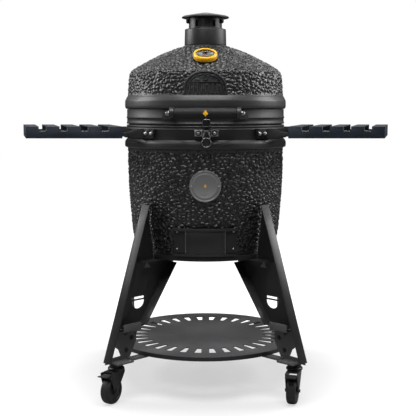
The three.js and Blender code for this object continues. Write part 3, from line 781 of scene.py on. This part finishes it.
def make_bowl():
    inner = [(243, 905), (242, 760), (228, 560), (218, 505), (205, 488), (0, 488)]
    profile = [(0, 460), *BOWL, *flange(274.2, 9.6, 831, 864), (270.5, 864.2), *rounded(
        [(270.5, 865), (270.5, 905), (243, 905)], 3, ends=False)[1:-1], *inner]
    draft = plate(rectangle(-55, 55, 495, 552), 95, facing_front(-195))
    pebbled_shell("bowl_ceramic", "base_shell", profile, BOWL, bowl_pebbled, draft)


def make_dome():
    inner = [(62, 1156), (85, 1150), (143, 1128), (200, 1098), (232, 1072), (241, 1040), (243, 917.1)]
    profile = [(270.5, 917.1), (270.5, 962.8), *flange(272.6, 9.8, 963, 1009), *DOME,
               (62, 1182.5), *inner]
    pebbled_shell("dome_ceramic", "dome_shell", profile, DOME, dome_pebbled)


BAND_IN, BAND_R, BEAD = 271, 275.5, 2


def band_profile(z0, z1, beads):
    """Section of a rolled steel band: beads are (height, half width)."""
    face = [(BAND_R, z0)]
    for z, half in beads:
        face += [(BAND_R + BEAD * math.cos(math.pi * t / 2), z + half * t)
                 for t in (-1, -0.75, -0.5, -0.25, 0, 0.25, 0.5, 0.75, 1)]
    face.append((BAND_R, z1))
    return [(BAND_IN, z0), *face, (BAND_IN, z1)]


def make_bands():
    base = band_profile(864.5, 909.5, [(897, 3), (906, 3)])
    dome = band_profile(912.5, 962.5, [(916, 3.2), (935, 4)])
    made("base_band_finish", "root", "band_steel", [turned(base, 200, crease=50)], "base_band")
    made("dome_band_finish", "lid", "band_steel", [turned(dome, 200, crease=50)], "dome_band")
    for node, z in (("base_gasket", 905.4), ("dome_gasket", 911.2)):
        section = rounded([(245, z), (270, z), (270, z + 5.3), (245, z + 5.3)], 2)
        made(node + "_felt", body_of(node), "felt", [turned(section, 160)], node)


def on_dome(x, z, height):
    """A point over the front of the dome, height proud of it."""
    return Vector((x, -chord(radius_at(DOME, z) + height, x), z))


def ridge(points, width, height, loop=False):
    """A rounded ridge along (x, z) points on the front of the dome."""
    bm = bmesh.new()
    rows = []
    count = len(points)
    for i, point in enumerate(points):
        here = Vector(point)
        back = Vector(points[i - 1]) if loop or i else here
        ahead = Vector(points[(i + 1) % count]) if loop or i < count - 1 else here
        along = (ahead - back).normalized()
        aside = Vector((-along.y, along.x))
        rows.append([bm.verts.new(on_dome(*(here + aside * width * share), rise)) for share, rise in
                     ((-0.5, -2), (-0.5, 0.1), (-0.3, height), (0.3, height), (0.5, 0.1), (0.5, -2))])
    ends = count if loop else count - 1
    for i in range(ends):
        a, b = rows[i], rows[(i + 1) % count]
        for k in range(6):
            m = (k + 1) % 6
            bm.faces.new([a[k], a[m], b[m], b[k]])
    if not loop:
        bm.faces.new(rows[0])
        bm.faces.new(rows[-1])
    return as_mesh(bm, 50)


def arch(shrink, foot):
    """The arched outline of the emblem, pulled in by shrink."""
    half, spring = EMBLEM["half"] - shrink, EMBLEM["spring"]
    rise = EMBLEM["top"] - shrink - spring
    over = [(half * x, spring + rise * z) for x, z in arc(0, 0, 1, 0, 180, 40)]
    return [(half, foot), *over, (-half, foot)]


def make_emblem():
    """A double arch over a row of upright ribs, on the front of the dome."""
    foot = EMBLEM["foot"] + 3
    pieces = [ridge(arch(2, foot), 5, 3.2), ridge(arch(11, foot), 2.8, 2.4)]
    for i in range(-4, 5):
        pieces.append(ridge([(12.5 * i, z) for z in (foot + 1, 1026, 1040, 1046)], 7.0, 3.0))
    pieces.append(ridge([(x, 1051) for x in range(-52, 53, 8)], 2.8, 2.6))
    flame = [(0, 1057), (-9, 1060), (-7, 1068), (0, 1078), (7, 1068), (9, 1060)]
    pieces.append(ridge(rounded(flame, 4), 3, 2.8, loop=True))
    made("dome_emblem", "lid", "glaze", pieces)


# ------------------------------------------------------------------ chimney
WINDOW = {"count": 6, "low": 1246, "high": 1268}


def sleeve(r0, r1, z0, z1, width, start=0):
    """A tube with windows spaced evenly round it, the first at start degrees."""
    half = math.degrees(width / 2 / r1)
    pitch = 360 / WINDOW["count"]

    def keep(turn, z):
        off = abs((turn - start + pitch / 2) % pitch - pitch / 2)
        return not (off < half and WINDOW["low"] < z < WINDOW["high"])

    def place(turn, z, side):
        r, a = (r0, r1)[side], math.radians(turn)
        return Vector((r * math.cos(a), r * math.sin(a), z))

    levels = [z0, WINDOW["low"], WINDOW["high"], z1]
    return slab([i * 1.25 for i in range(288)], levels, place, keep, ring=True)


def make_chimney():
    shoulder = rounded([(67.5, 1183), (73.2, 1183), (71.6, 1240), (53, 1240), (49.5, 1234), (66, 1230)], 2.5)
    base = [turned(shoulder, 128), sleeve(49.3, 52.5, 1239, 1272, 12, 30)]
    made("chimney_base", "lid", "cast_aluminium", base, "vent_base")
    lid = rounded([(0, 1277), (58, 1277), (58, 1273.5), (0, 1273.5)], 1)
    collar = rounded([(54, 1240.4), (60.5, 1240.4), (60.5, 1243.5), (54, 1243.5)], 1)
    clips = [plate(rounded([(r, 1270), (r + 9, 1276), (r + 9, 1262), (r + 2, 1258)], 2), 12,
                   Matrix.Rotation(math.radians(turn), 4, "Z") @ Matrix.Rotation(math.pi / 2, 4, "X"), 0.8)
             for r, turn in ((58, -163), (58, -17))]
    made("chimney_sleeve", "vent_cap", "cast_aluminium",
         [sleeve(54, 58, 1240.4, 1277, 13), turned(lid, 96), turned(collar, 96), *clips], "vent_rotor")
    cap = rounded([(0, 1277.3), (76, 1277.3), (82.4, 1278.5), (82.4, 1282), (76, 1285.5), (14, 1296.5),
                   (0, 1298)], 1.4)
    made("chimney_cap", "vent_cap", "cast_aluminium", [turned(cap, 128)], "rain_cap")
    bolts("chimney_cap_bolt", "vent_cap", "cast_aluminium", [((0, 0, 1294.8), (0, 0, 1))], 9, 6, 1.2, 6, 0)


# ------------------------------------------------------------------ thermometer
GAUGE = tipped("X", (0, -200, 1131), math.radians(27.5))


def on_dial(r, turn):
    """A point on the gauge's face."""
    return GAUGE @ Vector((*arc(0, 0, r, turn, turn, 1)[0], 9.3))


def make_gauge():
    case = rounded([(0, -60), (4, -60), (4, 2), (36.5, 2), (36.5, 9), (0, 9)], 0.8)
    made("gauge_case", "lid", "dial", [turned(case, 64, GAUGE)], "thermometer_case")
    bezel = rounded([(36.9, 2), (40, 2), (40, 13.5), (37.6, 18), (32.5, 18), (31.5, 15.4), (36.9, 15.4)], 1.1)
    grip = rounded([(39.2, 5), (40, 5.6), (40, 8.4), (39.2, 9)], 0.3)
    made("gauge_bezel", "lid", "bezel", [turned(bezel, 128, GAUGE), turned(grip, 128, GAUGE)],
         "thermometer_bezel")
    glass = rounded([(0, 13.4), (36.5, 13.4), (36.5, 15), (0, 15)], 0.3)
    made("gauge_glass", "lid", "glass", [turned(glass, 64, GAUGE)], "thermometer_glass")
    pointer = [(-2.2, -8), (2.2, -8), (1.6, 4), (0.4, 27), (-0.4, 27), (-1.6, 4)]
    hub = rounded([(0, 9.8), (5, 9.8), (5, 12.2), (0, 12.9)], 0.8)
    made("gauge_needle", "thermometer_needle", "needle",
         [plate(pointer, 1.1, GAUGE @ Matrix.Translation((0, 0, 10.2)), 0.2), turned(hub, 40, GAUGE)],
         "thermometer_needle")
    ticks = []
    for i in range(41):
        reach = 23.5 if i % 5 == 0 else 26.5
        ticks.append([on_dial(r, 220 - 6.5 * i) for r in (reach, 30)])
    ticks += [[on_dial(30.6, a) for a in (turn, turn + 5)] for turn in range(-40, 220, 5)]
    bars("gauge_scale", "lid", "badge_metal", ticks, 0.3, sides=6)
    numbers = []
    for i in range(0, 9):
        turn = math.radians(220 - 32.5 * i)
        numbers.append(number(str(50 * i), 4.6, GAUGE @ Matrix.Translation(
            (19 * math.cos(turn), 19 * math.sin(turn), 9.05))))
    made("gauge_numbers", "lid", "badge_metal", numbers)


def number(text, size, place):
    """A printed number, centred on its place."""
    curve = bpy.data.curves.new("number", "FONT")
    curve.body, curve.size, curve.extrude = text, size, 0.15
    curve.align_x, curve.align_y = "CENTER", "CENTER"
    curve.resolution_u = 2
    holder = bpy.data.objects.new("number", curve)
    mesh = bpy.data.meshes.new_from_object(holder)
    bpy.data.objects.remove(holder)
    mesh.transform(Matrix.Scale(MM, 4) @ place)
    return mesh


# ------------------------------------------------------------------ handle and latch
HANDLE_Y, HANDLE_Z = -325, 950


def make_handle():
    sideways = tipped("Y", (0, HANDLE_Y, HANDLE_Z))
    crests = []
    for i in range(-49, 50):
        x = 1.98 * i
        fat = 17.8 if abs(x) < 93 else 17.2
        crests += [(fat - 0.7, x - 0.85), (fat, x - 0.5), (fat, x + 0.5), (fat - 0.7, x + 0.85)]
    grip = [(6.4, -99.5), (15.5, -99.5), (16.8, -98.6), *crests, (16.8, 98.6), (15.5, 99.5), (6.4, 99.5)]
    made("handle_grip_ribbed", "lid", "grip", [turned(grip, 72, sideways, 50)], "handle_grip")
    made("handle_rod_finish", "lid", "stainless",
         [turned(rounded([(0, -120), (6, -120), (6, 120), (0, 120)], 1), 32, sideways)], "handle_rod")
    end = [(HANDLE_Y + y, HANDLE_Z + z) for y, z in arc(0, 0, 20, 60, 300, 16)]
    arm = [(-272, 970), *end, (-272, 930)]
    for side, name in ((-1, "left"), (1, "right")):
        x0 = 100 if side > 0 else -114
        cap = turned(rounded([(0, 0), (9, 0), (9, 1.5), (8, 2.5), (0, 2.5)], 0.8), 40,
                     tipped("Y", (side * 114, HANDLE_Y, HANDLE_Z), side * math.pi / 2))
        foot = slab([side * a for a in range(20, 31)], [931, 957], curved(278.4, 281.5))
        made(f"handle_bracket_{name}_cast", "lid", "cast_aluminium",
             [plate(rounded(arm, 6), 14, across(x0), 1.2), cap, foot], f"handle_bracket_{name}")
        bolts(f"handle_nut_{name}", "lid", "stainless",
              [((side * 117, HANDLE_Y, HANDLE_Z), (side, 0, 0))], 8.5, 7.6, 6, 6, 5.6)
        spot = Vector((side * 123, -chord(281, 123), 946))
        bolts(f"handle_bolt_{name}", "lid", "stainless", [(spot, (spot.x, spot.y, 0))], 6.5, 5.5, 3.5)
    tag = rounded([(0, 11.5), (8.5, 0), (0, -9), (-8.5, 0)], 2)
    made("handle_tag", "lid", "bezel",
         [plate(tag, 1.2, facing_front(HANDLE_Y - 17.2, 1, HANDLE_Z - 1), 0.3)])


LATCH_X, LATCH_Y = 4, -291


def make_latch():
    tab = rounded([(-13, 906.5), (13, 906.5), (13, 931), (-13, 931)], 6, 5)
    hook = [plate(tab, 3.6, facing_front(-289.2, LATCH_X), 0.9),
            plate(rounded(rectangle(-12, 12, 914, 930), 3), 11, facing_front(-278.4, LATCH_X), 0.8)]
    made("latch_keeper_finish", "lid", "cast_aluminium", hook, "latch_keeper")
    # Painted highlight: a bright steel wire round the keeper tab's edge, where light catches it.
    edge = [(LATCH_X + x * 0.93, -292.8, 918.7 + (z - 918.7) * 0.93) for x, z in tab]
    made("latch_keeper_painted_highlight", "lid", "stainless", [rod(edge, 0.5, 8, True)])
    eased("latch_plate", 0.7)
    ends = [((LATCH_X + x, -282, 886), (0, -1, 0)) for x in (-26, 26)]
    bolts("latch_plate_washers", "root", "cast_aluminium", ends, 9, 8, 1.4, 24)
    bolts("latch_plate_bolts", "root", "stainless", ends, 6, 5.5, 3.2, 24, 5)
    # Painted shade: a thin dark sheet over the steel plate's centre, between its bolts.
    made("latch_plate_painted_shade", "root", "cast_aluminium",
         [plate(rounded(rectangle(-14, 14, 877.5, 894.5), 2), 0.6, facing_front(-282.1, LATCH_X), 0.2)])
    bolts("latch_keeper_bolt", "lid", "cast_aluminium",
          [((LATCH_X, -292.7, 919), (0, -1, 0))], 6, 4.6, 1.6, 6)
    disc = [(0, 0), (13, 0), (15, 1.6), (15, 5.4), (13.8, 7), (11.8, 7), (10.8, 5.4), (0, 5.4)]
    disc_place = tipped("X", (LATCH_X, LATCH_Y - 2.5, 856))
    tab = turned(rounded(disc, 0.8), 64, disc_place)
    neck = [(-7.5, 862), (7.5, 862), (7.5, 873), (6.5, 891), (-6.5, 891), (-7.5, 873)]
    made("latch_lever_tab", "latch_lever", "cast_aluminium",
         [tab, plate(rounded(neck, 2), 5, facing_front(LATCH_Y - 1, LATCH_X), 0.8)], "latch_lever")
    rim = circle(14.6, 6.2, 0.9)
    made("latch_lever_rim", "latch_lever", "stainless", [turned(rim, 64, disc_place)])
    y, low, high = LATCH_Y - 6.5, 870, 894
    bend = rounded([(-13, low), (13, low), (3.5, high), (-3.5, high)], 4, 6)
    loop = [(LATCH_X + x, y, z) for x, z in bend]
    made("latch_bail_wire", "latch_bail", "stainless", [rod(loop, 1.5, 12, True)], "latch_bail")


# ------------------------------------------------------------------ draft door and badge
DRAFT_LOW, DRAFT_HIGH = 480, 572
GATE_LOW, GATE_HIGH = 496, 552
SCREEN_R = 269.6


def front_wall(r0, r1, half, z0, z1, middle=0):
    """A curved wall on the front of the bowl, half degrees each way from its middle."""
    count = max(2, round(2 * half))
    turns = [middle - half + 2 * half * i / count for i in range(count + 1)]
    return slab(turns, [z0, z1], curved(r0, r1))


def softened(piece, edge):
    """Eases the sharp edges of a finished piece."""
    bevel = piece.modifiers.new("eased edges", "BEVEL")
    bevel.width, bevel.segments = edge * MM, 2
    bevel.limit_method, bevel.angle_limit = "ANGLE", math.radians(40)
    apply_modifiers(piece)
    shade(piece.data, 40)
    return piece


def make_draft():
    def around_gate(turn, z):
        return not (abs(turn) < 12 and GATE_LOW < z < GATE_HIGH)

    levels = [DRAFT_LOW, GATE_LOW, GATE_HIGH, DRAFT_HIGH]
    frame_parts = [slab(range(-23, 24), levels, curved(263.5, 266.5), around_gate)]
    frame_parts += [front_wall(263.6, 275.4, 23, a, b)
                    for a, b in ((DRAFT_LOW, DRAFT_LOW + 4.5), (DRAFT_HIGH - 4.5, DRAFT_HIGH))]
    frame_parts += [front_wall(274, 275.5, 22.9, a, b)
                    for a, b in ((DRAFT_LOW + 0.1, DRAFT_LOW + 8), (DRAFT_HIGH - 8, DRAFT_HIGH - 0.1))]
    softened(made("draft_frame_cast", "root", "cast_aluminium", frame_parts, "draft_frame"), 0.5)
    door = [front_wall(271, 273.4, 13.8, DRAFT_LOW + 5, DRAFT_HIGH - 5),
            *[front_wall(272, 275.5, 0.7, DRAFT_LOW + 14, DRAFT_HIGH - 14, m) for m in (-12.6, 12.6)]]
    softened(made("draft_door_panel", "draft_door", "cast_aluminium", door, "draft_door"), 0.4)
    heads = [((x, -chord(265, x), z), (x, -chord(265, x), 0)) for x in (-93, 93) for z in (503, 561)]
    bolts("draft_frame_bolts", "root", "stainless", heads, 4.2, 3.6, 1.0, 20, 3.7)
    screen = [front_wall(269, 270.2, 14.2, a, b) for a, b in ((485, 488.5), (563.5, 567))]
    screen += [front_wall(269, 270.2, 0.5, 485, 567, m) for m in (-13.7, 13.7)]
    made("draft_screen_frame", "draft_screen", "stainless", screen, "draft_screen")
    upright = [[front_point(SCREEN_R, i * 0.65, z) for z in (486, 566)] for i in range(-20, 21)]
    bars("draft_screen_wires", "draft_screen", "stainless", upright, 0.45, sides=5)
    weft = []
    for k in range(25):
        knots = [front_point(SCREEN_R, turn, 489 + 3.1 * k) for turn in range(-13, 14, 2)]
        weft += zip(knots, knots[1:])
    bars("draft_screen_weft", "draft_screen", "stainless", weft, 0.45, sides=5)


BADGE_Z = 713


def on_bowl(x, z, height):
    return Vector((x, -chord(275.0 + height, x), z))


def make_badge():
    """A thin disc bent to the bowl: rolled rim, one ring and a flame in the middle."""
    rim = [(0, 0.2), (51, 0.2), (52, 0.9), (52, 2.6), (50.6, 3.4), (48.4, 3.4), (47, 2.2), (41, 2.2),
           (40, 2.8), (38.6, 2.8), (37.6, 2.2), (0, 2.2)]
    disc = turned(rim, 128)
    bent = bmesh.new()
    bent.from_mesh(disc)
    bpy.data.meshes.remove(disc)
    for vertex in bent.verts:
        x, up, height = vertex.co / MM
        vertex.co = on_bowl(x, BADGE_Z + up, height) * MM
    bmesh.ops.recalc_face_normals(bent, faces=bent.faces)
    mesh = bpy.data.meshes.new("badge")
    bent.to_mesh(mesh)
    bent.free()
    shade(mesh, 40)
    made("badge_disc", "root", "badge_metal", [mesh], "base_badge")
    rivets = [(on_bowl(x, BADGE_Z, 2.2), (x * 0.17, -1, 0)) for x in (-44, 44)]
    bolts("badge_rivets", "root", "stainless", rivets, 3.4, 2.2, 0.8, 20, 2.8)
    ribs = [(on_bowl(x, BADGE_Z - 27 - h, 2.2), on_bowl(x, BADGE_Z - 27 + h, 2.2))
            for x, h in ((-12, 1.5), (-6, 3), (0, 3.8), (6, 3), (12, 1.5))]
    bars("badge_ribs", "root", "badge_metal", ribs, 0.8)
    mark = rounded([(0, 7), (3.6, 1), (2.6, -4.5), (-2.6, -4.5), (-3.6, 1)], 1.5)
    made("badge_mark", "root", "bezel",
         [plate(mark, 1.1, facing_front(-276.9, 0, BADGE_Z), 0.3)])


# ------------------------------------------------------------------ inside the bowl
GRATE_R = 218.5


def make_inside():
    lower = [(120, 488.5), (195, 488.5), (205, 560), (205.4, 571.7), (175, 571.7), (150, 548), (120, 548)]
    gate = plate(rectangle(-50, 50, 500, 540), 120, facing_front(-100))
    made("fire_box_base_clay", "root", "fireclay",
         [pierced(turned(rounded(lower, 2), 144), gate)], "fire_box_base")
    upper = [(205.4, 572), (210, 760), (185, 760), (177, 572)]
    made("fire_box_wall_clay", "root", "fireclay", [turned(rounded(upper, 2), 144)], "fire_box_wall")
    ring = [(188, 760.4), (212, 760.4), (225, 850), (200, 850)]
    made("fire_ring_clay", "root", "fireclay", [turned(rounded(ring, 2), 144)], "fire_ring")
    eased("charcoal_grate", 1.2)
    hoop = circle(GRATE_R, 854.4, 3)
    made("cooking_grate_hoop", "root", "stainless", [turned(hoop, 144)], "cooking_grate")
    rods = [[(x, end * chord(GRATE_R, x), 855) for end in (-1, 1)] for x in range(-210, 211, 14)]
    bars("cooking_grate_rods", "root", "stainless", rods, 2.4)
    stays = [[(end * chord(GRATE_R, y), y, 851.6) for end in (-1, 1)] for y in (-110, 110)]
    bars("cooking_grate_stays", "root", "stainless", stays, 2.8)


# ------------------------------------------------------------------ hinge
HINGE_Y, HINGE_Z = 322, 911


def make_hinge():
    eased("hinge_base", 1.0)
    eased("hinge_lid_arm", 1.0)
    pin = rounded([(0, -47), (6, -47), (6, 47), (0, 47)], 0.8)
    made("hinge_pin_finish", "root", "stainless",
         [turned(pin, 32, tipped("Y", (0, HINGE_Y, HINGE_Z)))], "hinge_pin")
    coil = [(i / 6 - 20, HINGE_Y + y, HINGE_Z + z)
            for i, (y, z) in enumerate(arc(0, 0, 11, 0, 6 * 360, 240))]
    made("hinge_spring_wire", "root", "stainless", [rod(coil, 1.6)], "hinge_spring")
    bolts("hinge_base_bolts", "root", "stainless",
          [((x, 284, 876), (0, 1, 0)) for x in (-51, -18, 18, 51)], 6.5, 5.2, 4)
    bolts("hinge_arm_bolts", "lid", "stainless",
          [((x, 286, z), (0, 1, 0)) for x in (-41, 41) for z in (929, 948)], 6.5, 5.2, 4)


# ------------------------------------------------------------------ side tables
NOTCH_IN, NOTCH_OUT, NOTCH_PITCH = 319.5, 345.6, 69.6
NOTCH_FACE_Y, APRON_FOOT = -188.4, 890.3
STRAP_R, STRAP_Z = 282.2, 883


def make_tables():
    for side, name in ((-1, "left"), (1, "right")):
        eased(f"table_{name}", 1.3)
        # Painted highlight: a light grey wire along the foot and inner side of each notch, where light catches the
        # notch edges.
        notch_highlights = []
        for i in range(4):
            inner, outer = NOTCH_IN + NOTCH_PITCH * i, NOTCH_OUT + NOTCH_PITCH * i
            line = [(outer - 2, APRON_FOOT), (inner + 1.4, APRON_FOOT), (inner + 1.4, 903)]
            notch_highlights.append(rod([(side * x, NOTCH_FACE_Y, z) for x, z in rounded(line, 4, 4, False)], 1.1, 8))
        made(f"table_notch_highlight_{name}", body_of(f"table_{name}"), "badge_metal", notch_highlights)
        for end in ("front", "back"):
            eased(f"table_arm_{end}_{name}", 0.8)
            y = -192 if end == "front" else 200
            middle = math.atan2(abs(y), chord(BAND_R, y))

            def outward(a):
                return Vector((side * math.cos(a), math.copysign(math.sin(a), y), 0))

            places = [(outward(middle + off) * (STRAP_R / math.cos(off)) + Vector((0, 0, STRAP_Z)),
                       outward(middle)) for off in (math.radians(1.4), math.radians(6.9))]
            bolts(f"table_arm_bolts_{end}_{name}", "root", "stainless", places, 6.4, 5.4, 3.4, 24, 5.2)


# ------------------------------------------------------------------ stand
SHELF = {"r": 326, "top": 156, "under": 152.5, "slots": 32, "slot_in": 208, "slot_out": 268}


def make_shelf():
    pitch = 360 / SHELF["slots"]
    r, top, under = SHELF["r"], SHELF["top"], SHELF["under"]
    slot_in, slot_out = SHELF["slot_in"], SHELF["slot_out"]
    turns = [i * pitch / 12 for i in range(12 * SHELF["slots"])]

    def keep(turn, r):
        off = abs(turn % pitch - pitch / 2)
        return not (off < pitch * 2.5 / 12 and slot_in < r < slot_out)

    def place(turn, r, side):
        off = turn % pitch - pitch / 2
        edge, wide = pitch * 2 / 12, math.degrees(0.0337 + 0.0148 * ramp(r, slot_in, slot_out))
        inside = min(abs(off), edge) * wide / edge
        beyond = max(abs(off) - edge, 0) * (pitch / 2 - wide) / (pitch / 2 - edge)
        a = math.radians(turn - off + math.copysign(inside + beyond, off))
        return Vector((r * math.cos(a), r * math.sin(a), (under, top)[side]))

    tray = slab(turns, [40, 120, slot_in, 223, 238, 253, slot_out, 300, 323.5], place, keep, ring=True)
    middle = turned([(0, under), (40, under), (40, top), (0, top)], 96)
    rim = turned(rounded([(r - 3.5, 142), (r, 142), (r, top), (r - 3.5, top)], 1.6), 192)
    made("shelf_pressing", "root", "bracket_steel", [tray, middle], "shelf")
    made("shelf_rim", "root", "stand_steel", [rim])


def at_corner(corner):
    """Place of a leg's own frame, with X out along its azimuth, and the way its flange bends in Y."""
    hub = joint(f"caster_{corner}_swivel")["pos_m"]
    bend = 1 if corner in ("front_left", "back_right") else -1
    return Matrix.Rotation(math.atan2(hub[1], hub[0]), 4, "Z"), bend


def joint(name):
    return next(j for j in frame["joints"] if j["name"] == name)


def at_joint(name):
    """Place whose Z runs along the joint's axis, at the joint."""
    found = joint(name)
    turn = Vector(found["axis"]).to_track_quat("Z", "Y").to_matrix().to_4x4()
    return Matrix.Translation(Vector(found["pos_m"]) / MM) @ turn


PAD_TOP, LEG_FLANGE_TOP = 137, 250.5
FRONT_BRACKET_BOLTS = [(352, 204), (378, 224), (376, 166)]
BACK_BRACKET_BOLTS = [(413, 226), (413, 203), (430, 212)]


def make_stand():
    ring = [(239.5, 460), (251, 460), (251, 476), (244.6, 476)]
    made("cradle_ring_finish", "root", "stand_steel", [turned(rounded(ring, 0.9), 200)], "cradle_ring")
    make_shelf()
    for corner in CORNERS:
        eased(f"leg_{corner}", 0.7)
        eased(f"foot_bracket_{corner}", 0.7)
        place, bend = at_corner(corner)
        pad = [(place @ Vector((x, bend * y, PAD_TOP)), (0, 0, 1)) for x in (386, 435) for y in (-17, 32)]
        bolts(f"pad_bolts_{corner}", "root", "stainless", pad, 6, 5, 3.6)
        side = place.to_3x3() @ Vector((0, bend, 0))
        spots = FRONT_BRACKET_BOLTS if corner.startswith("front") else BACK_BRACKET_BOLTS
        plate_bolts = [(place @ Vector((x, bend * 4, z)), side) for x, z in spots]
        bolts(f"bracket_bolts_{corner}", "root", "stand_steel", plate_bolts, 8, 6, 4)
        ledge = [(place @ Vector((x, bend * 20, LEG_FLANGE_TOP)), (0, 0, 1)) for x in (330, 372)]
        bolts(f"ledge_bolts_{corner}", "root", "stainless", ledge, 6, 5, 3)
        make_caster(corner)


def make_caster(corner):
    eased(f"caster_fork_{corner}", 0.6)
    hub = at_joint(f"wheel_{corner}_spin")
    section = through([(33, 15.2), (38, 16), (42.5, 13.5), (44.6, 8.5), (45, 3)], 1.5)
    outer = [(4.8, 15), (13, 15.4), (14.2, 12.5), (31, 12.5), *section]
    wheel = outer + [(r, -h) for r, h in reversed(outer)]
    made(f"caster_tyre_{corner}", f"wheel_{corner}", "caster_rubber", [turned(wheel, 96, hub, 30)],
         f"caster_wheel_{corner}")
    axle = [(hub @ Vector((0, 0, s * 21)), hub.to_3x3() @ Vector((0, 0, s))) for s in (-1, 1)]
    bolts(f"axle_nuts_{corner}", f"caster_{corner}", "stand_steel", axle, 7, 6, 4)
    swivel = at_joint(f"caster_{corner}_swivel").translation
    race = [(26, 108), (27.5, 110), (27.5, 114), (25, 117), (19, 118.5), (18, 118.5), (18, 108)]
    made(f"caster_race_{corner}", f"caster_{corner}", "stand_steel",
         [turned(rounded(race, 0.8), 48, Matrix.Translation((swivel.x, swivel.y, 0)))])
    if corner.startswith("front"):
        eased(f"brake_pedal_{corner}", 1.0)


# ------------------------------------------------------------------ camera, light and floor
LENS_MM, CAMERA_AT, CAMERA_DIP = 78.9, (0.009, -3.236, 0.967), 6.26


def make_camera():
    camera = bpy.data.cameras.new("camera")
    camera.lens, camera.sensor_width = LENS_MM, 36
    holder = bpy.data.objects.new("camera", camera)
    holder.location = CAMERA_AT
    holder.rotation_euler = (math.radians(90 - CAMERA_DIP), 0, 0)
    scene.collection.objects.link(holder)
    scene.camera = holder


def softbox(name, place, aim_z, width, height, power):
    """A rectangular light that points at the axis of the grill, at height aim_z."""
    light = bpy.data.lights.new(name, "AREA")
    light.shape, light.size, light.size_y, light.energy = "RECTANGLE", width, height, power
    holder = bpy.data.objects.new(name, light)
    holder.location = place
    holder.rotation_euler = (Vector((0, 0, aim_z)) - Vector(place)).to_track_quat("-Z", "Y").to_euler()
    scene.collection.objects.link(holder)


AMBIENT = 0.04


def make_studio():
    softbox("top_light", (0, -1.2, 3.2), 0.8, 2.6, 1.6, 95)
    softbox("left_strip", (-2.4, 0.35, 1.9), 1.0, 1.3, 1.4, 45)
    softbox("right_strip", (2.4, 0.35, 1.9), 1.0, 1.3, 1.4, 45)
    softbox("high_back", (0, 2.2, 2.9), 0.9, 3.2, 1.8, 28)
    softbox("front_fill", (-1.3, -4.2, 2.6), 0.8, 1.4, 1.4, 10)
    world = bpy.data.worlds.new("studio")
    world.use_nodes = True
    build = Tree(world.node_tree)
    seen = build.node("ShaderNodeLightPath").outputs["Is Camera Ray"]
    ground = world.node_tree.nodes["Background"]
    ground.inputs["Color"].default_value = (1, 1, 1, 1)
    strength = build.math("ADD", build.math("MULTIPLY", seen, 1 - AMBIENT), AMBIENT)
    build.link(strength, ground.inputs["Strength"])
    scene.world = world
    bm = bmesh.new()
    bmesh.ops.create_grid(bm, x_segments=24, y_segments=24, size=14)
    mesh = bpy.data.meshes.new("floor")
    bm.to_mesh(mesh)
    bm.free()
    material, build, surface = start_material("pale_floor", Roughness=0.9)
    surface.inputs["Base Color"].default_value = (0.3, 0.3, 0.3, 1)
    surface.inputs["Emission Color"].default_value = (1, 1, 1, 1)
    away = build.vector("LENGTH", own_place(build), result="Value")
    # Painted shadow: the floor's camera-only glow dims towards the middle, under the grill; further out it is
    # evenly white.
    glow_and_painted_shadow = build.ramp(away, 0.30, 0.95, 0.56, 1.0)
    seen = build.node("ShaderNodeLightPath").outputs["Is Camera Ray"]
    build.link(build.math("MULTIPLY", glow_and_painted_shadow, seen), surface.inputs["Emission Strength"])
    new_object("floor", mesh, material)
    scene.view_settings.view_transform = "Standard"


# ------------------------------------------------------------------ build
for make in (make_camera, make_studio, make_bowl, make_dome, make_bands, make_emblem, make_chimney,
             make_gauge, make_handle, make_latch, make_draft, make_badge, make_inside, make_hinge,
             make_tables, make_stand):
    make()

for node, piece in frame["nodes"].items():
    piece.data.materials.clear()
    piece.data.materials.append(FINISH[slot_of(node)])
